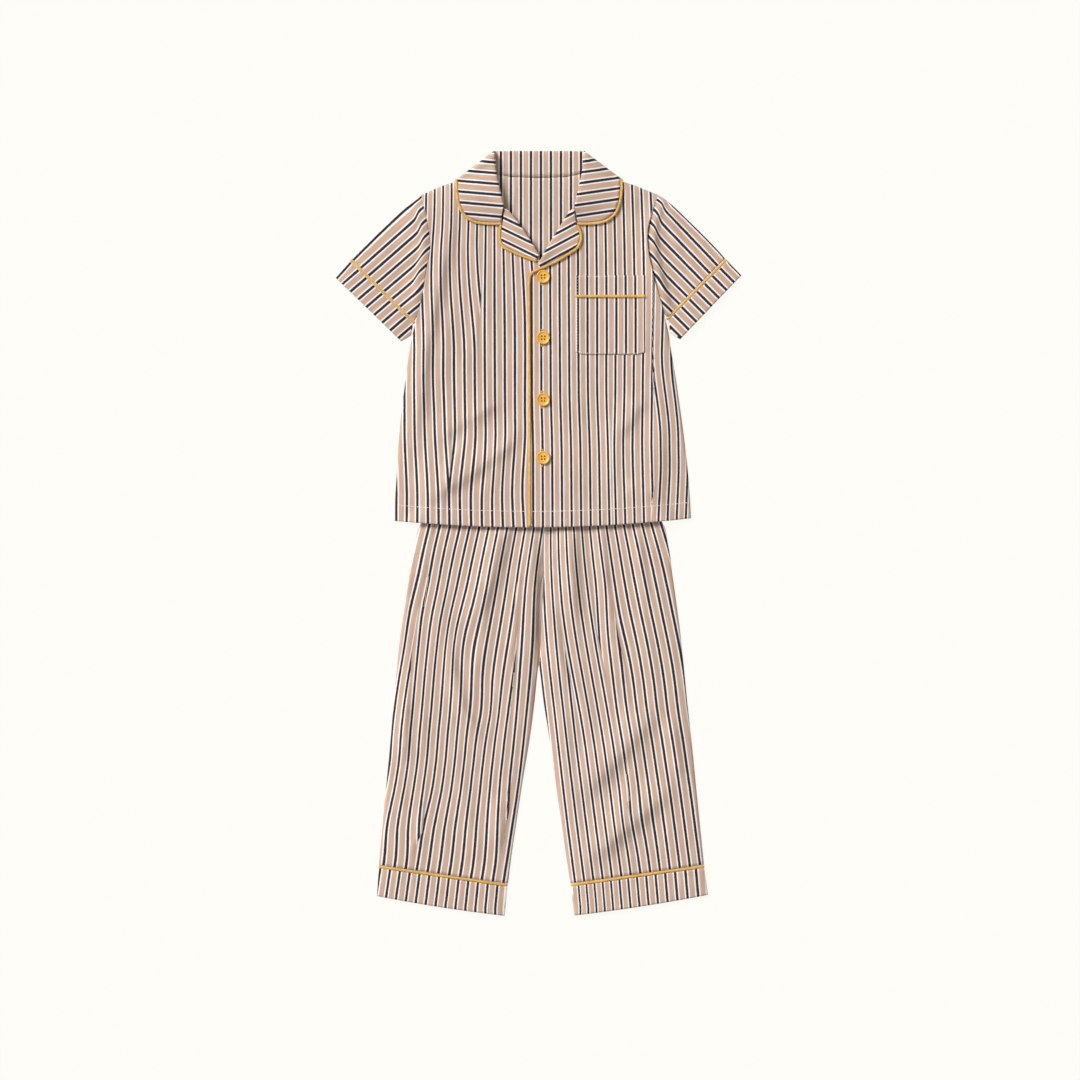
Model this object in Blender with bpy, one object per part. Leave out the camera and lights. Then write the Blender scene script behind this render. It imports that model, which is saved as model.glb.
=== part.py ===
"""A child's pyjama set: a short-sleeved piped shirt laid over the waist of its long trousers.

The set lies flat on its back on z = 0 with the collar towards +Y. The wearer's left side is +X.
All sizes below are in millimetres; solid_object() turns them into metres.
"""
import math

import bpy
import numpy as np

MM = 0.001

# Cloth and trim
CLOTH = 1.2            # wall of one layer of cloth
CUFF_CLOTH = 1.3       # turned, so two layers
BAND_CLOTH = 1.8       # casing with its elastic
GAP = 0.3              # between pieces that touch
PIPE_WIDTH = 3.0
PIPE_HEIGHT = 1.8
PIPE_SEAM = PIPE_WIDTH / 2 + GAP + 0.1      # from a piping's middle to the cloth beside it
SEAM_CLEAR = 0.5       # where two panels' edges meet side by side at a slant
ARMHOLE_CLEAR = 0.7
LYING_CLEAR = 0.5      # under a collar's or lapel's fall
UNDERARM_SHORT = 2.0   # the sleeve's lower corner stops short of the piping's end
FOLD_HEIGHT = 3.1      # a tube of cloth at its folded edge
FOLD_RADIUS = 1.8
LOFT = 2.2             # how far the upper layer stands up away from the folds
LOFT_WIDTH = 22.0      # how far in from a fold it takes to rise

FAR_BELOW = (0.0, 0.0, -1e5)

# Where the shirt lies on something: how high, over what half-width and from which height it rises
WAIST_LIFT = 5.2       # over the trousers' waist
WAIST_CENTRE = 4.2
WAIST_HALF_WIDTH = 128.0
HEM_HALF_WIDTH = 145.0
WAIST_SIDE_RAMP = 24.0
WAIST_RAMP = (142.0, 68.0)
NECK_LIFT = 2.5        # over the back of its own collar
NECK_CENTRE = 0.9
NECK_HALF_WIDTH = 100.0
NECK_SIDE_RAMP = 26.0
NECK_RAMP = (352.0, 394.0)

# Where the left front lies on the right one: from this far left, and up to this height
OVERLAP_SIDE = (64.0, 38.0)
OVERLAP_TOP = (350.0, 324.0)

# Fastening
BUTTON_DIAMETER = 15.5
BUTTON_THICKNESS = 2.8
BUTTON_RIM = 1.6
BUTTON_BEVEL = 0.8
BUTTON_HOLE = 1.9
BUTTON_HOLE_SPACING = 3.4
BUTTON_X = 5.6
BUTTON_HEIGHTS = (297.8, 226.9, 155.3, 87.7)
# The right front's edge under the left front, up to its lapel: x, height
UNDERLAP = ((22.0, 0.0), (22.0, 286.0), (20.0, 297.0), (10.0, 309.0))

# The shirt's sides and armholes: height, wearer's right edge, wearer's left edge
SHIRT_SIDES = (
    (39.0, -166.0, 175.9),
    (74.0, -163.9, 173.2),
    (108.0, -161.8, 169.4),
    (155.0, -157.0, 163.1),
    (190.0, -152.4, 157.8),
    (213.0, -149.2, 153.8),
    (235.0, -144.9, 150.6),
    (248.0, -141.4, 147.4),
    (272.0, -135.0, 141.2),
    (295.0, -131.2, 134.2),
    (310.0, -128.8, 130.7),
    (328.0, -125.0, 127.2),
    (343.0, -125.1, 126.0),
    (357.0, -127.4, 127.4),
    (374.0, -131.1, 131.8),
    (392.8, -135.6, 138.7),
)
HEM_CORNER_RIGHT = (-166.2, 14.8)
HEM_CORNER_LEFT = (177.0, 17.8)
HEM_MIDDLE = 7.2
ARMPIT_HEIGHT = 248.0
ARMHOLE_TOP = 392.8

# From the armhole's top to the neck, on the wearer's right: x, height
SHOULDER = ((-135.6, 392.8), (-120.5, 399.5), (-109.9, 403.8), (-100.0, 406.6),
            (-90.0, 409.6), (-75.0, 416.0), (-57.9, 423.4))

# The sleeve's upper fold: height, wearer's right, wearer's left
SLEEVE_FOLD = (
    (392.8, -135.6, 138.7),
    (387.0, -143.6, 148.0),
    (375.4, -159.4, 161.9),
    (352.2, -183.7, 186.3),
    (329.0, -206.9, 209.5),
    (317.3, -217.9, 219.4),
)
# Sleeve ends: side, piping at the upper fold and at the body, hem tip, bend and corner of the underarm
SLEEVE_ENDS = {
    "right": {"piping": ((-217.5, 317.1), (-143.6, 243.9)), "hem": ((-235.4, 297.1), (-159.0, 222.8)),
              "underarm": (-147.6, 229.6), "armpit": 252.0},
    "left": {"piping": ((217.8, 317.7), (149.1, 248.1)), "hem": ((235.5, 299.5), (164.4, 225.3)),
             "underarm": (152.9, 232.3), "armpit": 255.0},
}

# The collar's right half: outer edge of the piping's seam, roll line, neck seam; each x, height.
# turn is 0 where the fall lies over the front and 1 where it lies behind the back.
COLLAR_STATIONS = (
    # edge_x, edge_y, roll_x, roll_y, seam_x, seam_y, turn
    (-43.4, 359.3, -40.4, 379.4, -42.9, 380.9, 0.0),
    (-52.0, 358.9, -41.1, 384.7, -44.2, 385.3, 0.0),
    (-61.4, 359.4, -42.5, 389.9, -46.9, 390.6, 0.0),
    (-73.0, 361.1, -43.8, 395.1, -49.6, 396.2, 0.0),
    (-82.2, 365.9, -44.9, 400.3, -51.8, 402.0, 0.0),
    (-89.0, 373.6, -46.3, 406.1, -53.2, 407.8, 0.0),
    (-92.9, 384.7, -47.8, 413.1, -54.5, 413.6, 0.0),
    (-94.5, 396.3, -49.3, 421.2, -55.6, 418.6, 0.0),
    (-94.8, 407.4, -50.2, 434.4, -56.2, 421.8, 0.0),
    (-95.0, 409.2, -50.8, 438.8, -56.6, 423.2, 0.07),
    (-95.0, 410.2, -51.2, 441.6, -56.8, 424.3, 0.3),
    (-95.0, 410.5, -51.3, 442.9, -56.6, 424.8, 0.5),
    (-94.9, 410.2, -51.0, 443.1, -56.0, 424.6, 0.7),
    (-94.6, 409.2, -50.2, 443.1, -55.2, 423.8, 0.95),
    (-93.2, 406.2, -48.6, 443.0, -53.0, 421.7, 1.0),
    (-80.0, 402.2, -41.0, 443.2, -46.0, 417.0, 1.0),
    (-52.0, 398.6, -29.0, 443.3, -31.0, 414.2, 1.0),
    (-26.0, 397.3, -14.0, 443.3, -15.0, 413.1, 1.0),
)
COLLAR_MIDDLE_BACK = (0.9, 397.0, 0.9, 443.3, 0.9, 412.9, 1.0)
# Neck seam of the back from the shoulder to the middle: x, height
BACK_NECK = ((-57.9, 423.4), (-53.6, 420.8), (-46.2, 416.5), (-31.0, 413.4), (0.9, 412.3))

# The turned-back facings, from the collar down to the closure: edge_x, edge_y, roll_x, roll_y
LAPEL_STATIONS = {
    "right": (
        (-43.0, 358.4, -39.6, 377.7),
        (-44.2, 353.6, -34.0, 373.2),
        (-44.8, 347.0, -28.6, 367.4),
        (-44.3, 339.4, -24.6, 362.0),
        (-40.5, 332.3, -21.4, 357.6),
        (-33.5, 328.3, -18.0, 352.8),
        (-21.0, 322.6, -11.4, 343.1),
        (-10.5, 318.8, -3.5, 330.1),
        (-2.3, 316.0, 0.8, 322.5),
    ),
    "left": (
        (44.7, 358.2, 41.6, 377.9),
        (46.9, 354.0, 35.2, 372.0),
        (48.9, 349.0, 31.4, 366.0),
        (49.2, 340.5, 27.6, 359.6),
        (45.4, 331.4, 24.2, 354.2),
        (37.4, 325.7, 20.6, 348.5),
        (28.5, 319.9, 15.8, 340.9),
        (16.4, 313.3, 8.7, 328.6),
        (8.6, 309.8, 3.4, 318.4),
        (2.6, 307.2, -0.6, 313.4),
    ),
}
LAPEL_SEAM = 2.7       # from the roll line out to the front panel's edge
STAND_RISE = 0.5       # how much higher the stand is at the shoulder
STAND_RUN = (404.0, 422.0)
ROLL_INSET = 1.8       # from the roll line to where the cloth has turned
ROLL_RISE = 1.6        # how much higher the collar stands along its roll line
LAPEL_RISE = 1.0

# The left front's piping below its lapel, down to the hem: x, height
FRONT_PIPING = ((-4.8, 303.9), (-7.6, 301.6), (-9.5, 298.6), (-10.5, 294.6), (-10.9, 288.0),
                (-10.8, 270.0), (-10.5, 190.0), (-10.1, 90.0), (-10.0, 8.4))
PIPING_STEP = (297.0, 304.0)    # between these heights it comes down off the left front's edge
CLOSURE_TOP = 300.0             # the left front's edge follows its piping up to here

# Pocket on the left front
POCKET_LEFT = 43.2
POCKET_RIGHT = 123.4
POCKET_TOP = 299.3
POCKET_PIPING = 275.0
POCKET_BOTTOM = 207.4
POCKET_CORNER_RISE = 2.4

# Trousers: height, right leg's outer and inner edges, left leg's inner and outer edges
TROUSER_EDGES = (
    (29.0, -124.0, 5.75, 6.05, 131.0),
    (18.0, -133.0, 5.75, 6.05, 140.8),
    (8.0, -138.0, 5.75, 6.05, 146.4),
    (-7.4, -142.0, 5.75, 6.05, 149.4),
    (-24.0, -145.6, 5.7, 6.1, 152.5),
    (-45.7, -149.0, 5.4, 6.1, 155.2),
    (-64.0, -151.6, 2.3, 7.3, 157.8),
    (-91.0, -155.8, 0.7, 7.5, 161.5),
    (-115.0, -159.4, 0.9, 8.0, 164.6),
    (-130.0, -161.2, 0.8, 4.2, 166.2),
    (-141.0, -162.5, 0.5, 2.6, 167.3),
    (-152.0, -163.6, -0.1, 1.4, 168.4),
    (-170.0, -165.3, -2.0, 3.2, 170.2),
    (-193.0, -167.5, -4.2, 5.8, 172.4),
    (-239.0, -171.4, -10.2, 13.2, 177.6),
    (-286.0, -175.8, -18.0, 19.6, 182.2),
    (-332.0, -180.1, -25.0, 26.4, 186.8),
    (-378.6, -184.5, -31.8, 33.0, 191.6),
    (-402.0, -186.6, -34.6, 36.6, 194.0),
    (-445.0, -188.4, -39.6, 42.4, 198.2),
)
# Middle line of the back seam, where the leg backs meet: height, x
BACK_SEAM = ((29.0, 5.9), (-45.7, 5.75), (-91.0, 4.6), (-130.0, 2.8), (-152.0, 0.8))
BACK_SEAM_END = -153.0
FRONT_COLUMNS = 18
BACK_COLUMNS = 8
WAIST_SEAM = 29.0
WAISTBAND_TOP = 58.0
WAISTBAND_EDGES = (-121.0, 129.0)
WAISTBAND_GATHERS = 24
# Leg ends: piping and hem, outer point then inner point
LEG_ENDS = {
    "right": {"piping": ((-184.9, -386.0), (-35.7, -407.6)), "hem": ((-187.2, -420.2), (-39.0, -443.2))},
    "left": {"piping": ((192.1, -385.6), (37.6, -407.3)), "hem": ((196.6, -418.8), (41.6, -442.8))},
}
LEG_HEM_SAG = 1.4
SLANT_START = -160.0   # below this height the rows of a leg turn to lie along its hem
FRONT_ROWS = (28.7, 8, -10, -28, -46, -64, -91, -119, -136, -152, -172, -200, -235, -270, -305, -340)
BACK_ROWS = (28.7, 8, -30, -64, -91, -122, -152, -154, -200, -250, -300, -340)

# Soft folds in an upper layer: x and height at each end, how high, how wide
SHIRT_FOLDS = (
    # from_x, from_y, to_x, to_y, height, width
    (-103.0, 262.0, -112.0, 176.0, 1.6, 13.0),
    (-82.0, 232.0, -84.0, 150.0, 1.3, 12.0),
    (-63.0, 300.0, -52.0, 222.0, 1.4, 13.0),
    (-60.0, 148.0, -112.0, 52.0, 1.8, 14.0),
    (-22.0, 132.0, -66.0, 40.0, 1.6, 14.0),
    (134.0, 176.0, 146.0, 62.0, 1.7, 13.0),
    (92.0, 150.0, 84.0, 52.0, 1.5, 14.0),
    (112.0, 398.0, 108.0, 330.0, 1.2, 12.0),
    (-158.0, 352.0, -138.0, 372.0, 1.4, 9.0),
    (-168.0, 330.0, -140.0, 350.0, 1.5, 9.0),
    (-170.0, 306.0, -139.0, 330.0, 1.5, 9.0),
    (160.0, 354.0, 141.0, 374.0, 1.4, 9.0),
    (168.0, 330.0, 141.0, 351.0, 1.5, 9.0),
    (170.0, 306.0, 141.0, 329.0, 1.5, 9.0),
)
TROUSER_FOLDS = (
    (-40.0, -14.0, -70.0, -120.0, 1.9, 13.0),
    (-58.0, -96.0, -82.0, -206.0, 1.8, 14.0),
    (-26.0, -70.0, -44.0, -190.0, 1.5, 12.0),
    (-112.0, -60.0, -128.0, -190.0, 1.5, 14.0),
    (-102.0, -250.0, -70.0, -370.0, 1.7, 15.0),
    (-136.0, -300.0, -140.0, -372.0, 1.4, 13.0),
    (38.0, -10.0, 44.0, -130.0, 1.9, 13.0),
    (76.0, -40.0, 92.0, -190.0, 1.7, 14.0),
    (42.0, -150.0, 66.0, -260.0, 1.8, 13.0),
    (118.0, -60.0, 136.0, -200.0, 1.5, 14.0),
    (122.0, -240.0, 82.0, -370.0, 1.7, 15.0),
    (150.0, -290.0, 154.0, -374.0, 1.4, 13.0),
)
GATHER_HEIGHT = 1.0
GATHER_PITCH = 22.0
GATHER_RUN = (-42.0, 20.0)      # from the height at which the waist's gathers have run out
SHIRT_PRESS = (10.0, -26.0)     # the shirt's weight is felt down to here
PRESSED_SHARE = 0.25            # what is left of the loft under the shirt

# Columns across a shirt front, as distances from its side seam
SIDE_STEPS = (0.0, 7.0, 15.0, 25.0, 38.0, 53.0, 69.0, 86.0, 104.0, 122.0, 140.0, 162.0, 184.0)
SHIRT_ROWS = (15.0, 28.0, 44.0, 62.0, 82.0, 104.0, 128.0, 154.0, 180.0, 206.0, 228.0, 248.0, 266.0,
              284.0, 298.0, 308.0, 320.0, 338.0, 356.0, 374.0, 392.8)
HEM_ROWS = 45.0        # how far above the hem the rows still follow its curve
SHOULDER_SLANT = 286.0  # from this height the rows turn to lie along the shoulder
SHOULDER_STEPS = 5
SHOULDER_SHARE = 0.26  # of the hem that lies below one shoulder
CUFF_COLUMNS = 8
LEG_CUFF_COLUMNS = 14

COLOURS = {
    # name: red, green, blue, roughness
    "stripe_tan": (0.58, 0.41, 0.32, 0.85),
    "collar_tan": (0.60, 0.43, 0.34, 0.85),
    "piping_mustard": (0.76, 0.43, 0.10, 0.7),
    "button_mustard": (0.78, 0.42, 0.08, 0.4),
}


def material(name):
    """The named finish, made once."""
    found = bpy.data.materials.get(name)
    if found:
        return found
    red, green, blue, roughness = COLOURS[name]
    made = bpy.data.materials.new(name)
    made.use_nodes = True
    shader = made.node_tree.nodes["Principled BSDF"]
    shader.inputs["Base Color"].default_value = (red, green, blue, 1.0)
    shader.inputs["Roughness"].default_value = roughness
    shader.inputs["Metallic"].default_value = 0.0
    return made


def facing_out(points, faces, inside):
    """The faces, turned over together if they look towards the inside point."""
    points = np.asarray(points, float) - inside
    volume = 0.0
    for face in faces:
        corners = points[list(face)]
        for k in range(1, len(face) - 1):
            volume += np.dot(corners[0], np.cross(corners[k], corners[k + 1]))
    return faces if volume > 0 else [face[::-1] for face in faces]


def solid_object(name, points, faces, finish, inside=None):
    """One object from points in millimetres, its faces turned away from the inside point."""
    inside = np.mean(points, axis=0) if inside is None else inside
    faces = facing_out(points, faces, inside)
    mesh = bpy.data.meshes.new(name)
    mesh.from_pydata([tuple(MM * value for value in point) for point in points], [], faces)
    mesh.validate()
    mesh.shade_smooth()
    mesh.set_sharp_from_angle(angle=math.radians(50))
    mesh.materials.append(material(finish))
    made = bpy.data.objects.new(name, mesh)
    bpy.context.scene.collection.objects.link(made)
    return made


def thicken(made, thickness, offset):
    """Give a sheet its wall: offset 1 grows along its normals, -1 against them, 0 both ways."""
    wall = made.modifiers.new("wall", 'SOLIDIFY')
    wall.thickness = thickness * MM
    wall.offset = offset
    wall.use_rim = True
    wall.use_even_offset = False


def grid_faces(rows, columns, closed=False):
    """Quads of a grid of points stored row by row; closed joins the last column to the first."""
    faces = []
    for row in range(rows - 1):
        for column in range(columns if closed else columns - 1):
            beside = (column + 1) % columns
            faces.append((row * columns + column, row * columns + beside,
                          (row + 1) * columns + beside, (row + 1) * columns + column))
    return faces


# --- Curves and plan shapes -------------------------------------------------------------------

def smooth(value):
    """Ease from 0 to 1."""
    value = min(max(value, 0.0), 1.0)
    return value * value * (3.0 - 2.0 * value)


def ease(value, start, end):
    """0 at start and beyond, 1 at end and beyond."""
    return smooth((value - start) / (end - start))


def unit(vector):
    """The vector at length 1."""
    vector = np.asarray(vector, float)
    return vector / max(np.linalg.norm(vector), 1e-9)


def look_up(table, at, column=1):
    """The table's value at a height, on a smooth curve through its rows."""
    rows = sorted(table)
    heights = np.array([row[0] for row in rows])
    values = np.array([row[column] for row in rows])
    slopes = np.gradient(values, heights)
    at = min(max(at, heights[0]), heights[-1])
    k = min(max(int(np.searchsorted(heights, at)) - 1, 0), len(rows) - 2)
    span = heights[k + 1] - heights[k]
    t = (at - heights[k]) / span
    return float((2 * t**3 - 3 * t**2 + 1) * values[k] + (t**3 - 2 * t**2 + t) * span * slopes[k]
                 + (3 * t**2 - 2 * t**3) * values[k + 1] + (t**3 - t**2) * span * slopes[k + 1])


def along(points, shares):
    """Points at the given shares of a line's length."""
    points = np.asarray(points, float)
    lengths = np.concatenate([[0.0], np.cumsum(np.linalg.norm(np.diff(points, axis=0), axis=1))])
    shares = np.asarray(shares) * lengths[-1]
    return np.stack([np.interp(shares, lengths, points[:, axis]) for axis in range(points.shape[1])], axis=1)


def patch(first_side, last_side, bottom, top, across, up):
    """Plan points between four seam lines, as rows from the bottom line to the top line."""
    first_side, last_side = np.asarray(first_side, float), np.asarray(last_side, float)
    bottom, top = np.asarray(bottom, float), np.asarray(top, float)
    u = np.asarray(across)[None, :, None]
    v = np.asarray(up)[:, None, None]
    corners = ((1 - u) * (1 - v) * bottom[0] + u * (1 - v) * bottom[-1]
               + (1 - u) * v * top[0] + u * v * top[-1])
    return ((1 - u) * first_side[:, None] + u * last_side[:, None]
            + (1 - v) * bottom[None] + v * top[None] - corners)


def shirt_side(side, height):
    """x of the side seam or armhole."""
    corner = HEM_CORNER_RIGHT if side == "right" else HEM_CORNER_LEFT
    column = 1 if side == "right" else 2
    table = ((corner[1], corner[0], corner[0]),) + SHIRT_SIDES
    return look_up(table, height, column)


def side_sign(side):
    """-1 on the wearer's right, 1 on the wearer's left."""
    return -1.0 if side == "right" else 1.0


def mirrored(point):
    """The same place on the wearer's left of the neck."""
    return (2 * NECK_CENTRE - point[0],) + tuple(point[1:])


def shoulder_line(side):
    """From the armhole's top to the neck."""
    if side == "right":
        return [np.array(point) for point in SHOULDER]
    line = [np.array(mirrored(point)) for point in SHOULDER]
    line[0] = np.array((shirt_side("left", ARMHOLE_TOP), ARMHOLE_TOP))
    return line


def fold_lines():
    """The edges where the shirt's upper and lower layers meet."""
    lines = []
    for side in ("right", "left"):
        column = 1 if side == "right" else 2
        ends = SLEEVE_ENDS[side]
        seam = [(shirt_side(side, height), height) for height in range(16, int(ARMPIT_HEIGHT), 20)]
        lines.append(seam + [ends["underarm"], ends["hem"][1]])
        lines.append([ends["hem"][0]] + [(row[column], row[0]) for row in reversed(SLEEVE_FOLD)]
                     + [tuple(point) for point in shoulder_line(side)])
    return lines


def distance(point, lines):
    """From a plan point to the nearest of some lines."""
    nearest = 1e9
    point = np.asarray(point, float)[:2]
    for line in lines:
        line = np.asarray(line, float)
        start, step = line[:-1], np.diff(line, axis=0)
        t = np.clip(np.sum((point - start) * step, axis=1) / (np.sum(step * step, axis=1) + 1e-9), 0, 1)
        gaps = np.linalg.norm(start + t[:, None] * step - point, axis=1)
        nearest = min(nearest, float(gaps.min()))
    return nearest


# --- Heights of the layers --------------------------------------------------------------------

def folds(point, table):
    """Height that the soft folds add."""
    total = 0.0
    for from_x, from_y, to_x, to_y, height, width in table:
        start = np.array((from_x, from_y))
        step = np.array((to_x, to_y)) - start
        t = float(np.dot(point[:2] - start, step) / np.dot(step, step))
        inside = min(max(t, 0.0), 1.0)
        gap = float(np.linalg.norm(start + inside * step - point[:2]))
        ends = math.sin(math.pi * min(max(0.08 + 0.84 * t, 0.0), 1.0))
        total += height * max(ends, 0.0) * math.exp(-(gap / (0.6 * width)) ** 2)
    return total


def loft(point, lines):
    """How far the upper layer stands up, from 0 at a fold."""
    return LOFT * math.sin(0.5 * math.pi * min(distance(point, lines) / LOFT_WIDTH, 1.0))


def shirt_base(point):
    """Underside of the shirt's back: flat, but lifted over the waistband and over the collar's back."""
    x, y = point[0], point[1]
    widening = ease(y, WAIST_SEAM + 5.0, HEM_MIDDLE)
    half_width = WAIST_HALF_WIDTH + (HEM_HALF_WIDTH - WAIST_HALF_WIDTH) * widening
    waist = ease(y, *WAIST_RAMP) * ease(abs(x - WAIST_CENTRE), half_width + WAIST_SIDE_RAMP, half_width)
    beside = ease(abs(x - NECK_CENTRE), NECK_HALF_WIDTH + NECK_SIDE_RAMP, NECK_HALF_WIDTH)
    neck = ease(y, *NECK_RAMP) * beside
    return WAIST_LIFT * waist + NECK_LIFT * neck


SHIRT_FOLD_LINES = fold_lines()


def shirt_top(point):
    """Outside of the shirt's upper layer."""
    point = np.asarray(point, float)
    return shirt_base(point) + FOLD_HEIGHT + loft(point, SHIRT_FOLD_LINES) + folds(point, SHIRT_FOLDS)


def overlap(point):
    """1 where the left front lies on the right one, easing to 0 beside it and above the closure."""
    return ease(point[0], *OVERLAP_SIDE) * ease(point[1], *OVERLAP_TOP)


def front_height(side, point):
    """Outside of one front panel."""
    extra = (CLOTH + SEAM_CLEAR) * overlap(point) if side == "left" else 0.0
    return shirt_top(point) + extra


def leg_edge(column, height):
    """x of one edge of a trouser leg."""
    return look_up(TROUSER_EDGES, height, column)


def trouser_fold_lines():
    """The legs' side and inner folds."""
    heights = [row[0] for row in TROUSER_EDGES]
    lines = [[(leg_edge(1, y), y) for y in heights], [(leg_edge(4, y), y) for y in heights]]
    below = [y for y in heights if y < -45]
    lines += [[(leg_edge(2, y), y) for y in below], [(leg_edge(3, y), y) for y in below]]
    return lines


TROUSER_FOLD_LINES = trouser_fold_lines()


def gathers(point):
    """Waves that run down from the waistband."""
    fade = ease(point[1], *GATHER_RUN)
    sway = 3.0 * math.sin(point[0] * 0.043)
    wave = math.cos(2 * math.pi * (point[0] - 5.9 + sway) / GATHER_PITCH)
    return GATHER_HEIGHT * fade * 0.5 * (1.0 + wave)


def trousers_top(point):
    """Outside of the trousers' upper layer; it is pressed flatter under the shirt."""
    point = np.asarray(point, float)
    free = ease(point[1], *SHIRT_PRESS)
    rise = loft(point, TROUSER_FOLD_LINES) + folds(point, TROUSER_FOLDS)
    held = PRESSED_SHARE + (1.0 - PRESSED_SHARE) * free
    return FOLD_HEIGHT - GAP * (1.0 - free) + held * rise + gathers(point)


# --- Makers of pieces -------------------------------------------------------------------------

def panel(name, plan, underside, thickness=CLOTH, finish="stripe_tan"):
    """A sheet of cloth with its underside at the given height over each plan point."""
    rows, columns = plan.shape[:2]
    points = [(x, y, underside((x, y))) for x, y in plan.reshape(-1, 2)]
    made = solid_object(name, points, grid_faces(rows, columns), finish, inside=FAR_BELOW)
    thicken(made, thickness, 1.0)


def loop_round(row, top, radius, inset=0.0, last_out=None):
    """One closed section of a tube laid flat: over the top, round a fold, underneath, round the other."""
    row = np.asarray(row, float)
    first_out = unit(row[0] - row[1])
    last_out = unit(row[-1] - row[-2]) if last_out is None else np.array(last_out)
    inner = row.copy()
    inner[0] = row[0] - first_out * radius
    inner[-1] = row[-1] - last_out * radius
    above = [(x, y, top((x, y)) - inset) for x, y in inner]
    below = [(x, y, inset) for x, y in inner[::-1]]

    def fold(centre, outward, high):
        middle = 0.5 * high
        half = 0.5 * high - inset
        out = (radius - inset) * outward
        return [(*(centre + math.cos(angle) * out), middle + half * math.sin(angle))
                for angle in (math.pi / 4, 0.0, -math.pi / 4)]

    last = fold(inner[-1], last_out, top(inner[-1]))
    first = fold(inner[0], first_out, top(inner[0]))[::-1]
    return above + last + below + first


def flat_tube(name, plan, top, thickness, last_outs=None, finish="stripe_tan"):
    """Cloth sewn into a tube and laid flat, its outside through the sections."""
    last_outs = [None] * len(plan) if last_outs is None else last_outs
    loops = [loop_round(row, top, FOLD_RADIUS, last_out=last_out) for row, last_out in zip(plan, last_outs)]
    points = [point for loop in loops for point in loop]
    made = solid_object(name, points, grid_faces(len(loops), len(loops[0]), closed=True), finish)
    thicken(made, thickness, -1.0)


def piping(name, path, across=None, closed=False):
    """An oval strip of piping: path through its middle, across the way it is wide."""
    path = np.asarray(path, float)
    count = len(path)
    before = np.roll(path, 1, axis=0) if closed else np.concatenate([path[:1], path[:-1]])
    after = np.roll(path, -1, axis=0) if closed else np.concatenate([path[1:], path[-1:]])
    points = []
    sides = 6
    for k in range(count):
        tangent = unit(after[k] - before[k])
        wide = np.array(across[k], float) if across is not None else np.cross((0, 0, 1), tangent)
        wide = unit(wide - np.dot(wide, tangent) * tangent)
        high = np.cross(tangent, wide)
        for side in range(sides):
            angle = 2 * math.pi * side / sides
            points.append(path[k] + 0.5 * PIPE_WIDTH * math.cos(angle) * wide
                          + 0.5 / math.cos(math.pi / 6) * PIPE_HEIGHT * math.sin(angle) * high)
    faces = grid_faces(count + (1 if closed else 0), sides, closed=True)
    faces = [tuple(index % (count * sides) for index in face) for face in faces]
    if not closed:
        faces.append(tuple(range(sides))[::-1])
        faces.append(tuple((count - 1) * sides + side for side in range(sides)))
    solid_object(name, points, faces, "piping_mustard")


def piping_ring(name, ends, top, count, proud=0.5):
    """Piping round a flat tube, along the line between two plan points."""
    ends = np.asarray(ends, float)
    way = unit(ends[1] - ends[0])
    row = along([ends[0] - proud * way, ends[1] + 0.2 * way], np.linspace(0, 1, count))
    loop = loop_round(row, lambda p: top(p) + 2 * proud, FOLD_RADIUS + 0.2, inset=PIPE_HEIGHT / 2)
    across = [(-way[1], way[0], 0.0)] * len(loop)
    piping(name, loop, across, closed=True)


def inset_line(edges, towards, reach, turns=None):
    """A line of plan points moved in square to itself; straight towards the others where it turns over."""
    edges, towards = np.asarray(edges, float), np.asarray(towards, float)
    squares = []
    corners = []
    for k, edge in enumerate(edges):
        before = unit(edge - edges[k - 1]) if k else unit(edges[1] - edge)
        after = unit(edges[k + 1] - edge) if k < len(edges) - 1 else before
        line = unit(before + after)
        squares.append(np.array((-line[1], line[0])))
        corners.append(max(float(np.dot(before, line)), 0.7))
    squares = np.array(squares)
    sides = np.sum(squares * (towards - edges), axis=1)
    sides = np.full(len(edges), sides.sum()) if turns is None else sides
    moved = edges + reach * squares * np.sign(sides)[:, None] / np.array(corners)[:, None]
    for k in range(len(edges)):
        if turns is not None and 0.0 < turns[k] < 1.0:
            moved[k] = edges[k] + reach * unit(towards[k] - edges[k])
    return moved


def turned_section(edge_in, roll, seam, fall_height, stand_height, rise):
    """Mid-line of a collar or lapel: in from its outer edge, over the roll line, back to its seam."""
    edge_in, roll, seam = (np.asarray(point, float) for point in (edge_in, roll, seam))
    roll_in = roll + ROLL_INSET * unit(edge_in - roll)
    points = []
    for share in (0.0, 0.25, 0.5, 0.75, 1.0):
        at = edge_in + share * (roll_in - edge_in)
        points.append((*at, fall_height(at) + rise * smooth(share)))
    reach = np.linalg.norm(seam - roll)
    stand_in = roll + min(ROLL_INSET, 0.6 * reach) * unit(seam - roll)
    low = stand_height(stand_in)
    points.append((*roll, 0.5 * (low + points[-1][2])))
    points.append((*stand_in, low))
    points.append((*(0.5 * (stand_in + seam)), stand_height(0.5 * (stand_in + seam))))
    points.append((*seam, stand_height(seam)))
    return points


# --- Shirt ------------------------------------------------------------------------------------

def lapel_seam(side):
    """Where the turned-back facing joins its front, from the neck down."""
    stations = LAPEL_STATIONS[side]
    rolls = np.array([station[2:4] for station in stations])
    edges = np.array([station[0:2] for station in stations])
    seam = []
    for k, roll in enumerate(rolls):
        line = unit(rolls[min(k + 1, len(rolls) - 1)] - rolls[max(k - 1, 0)])
        normal = np.array((-line[1], line[0]))
        if np.dot(normal, edges[k] - roll) < 0:
            normal = -normal
        reach = min(LAPEL_SEAM, 0.45 * np.linalg.norm(edges[k] - roll))
        seam.append(roll + reach * normal)
    return np.array(seam)


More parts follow.
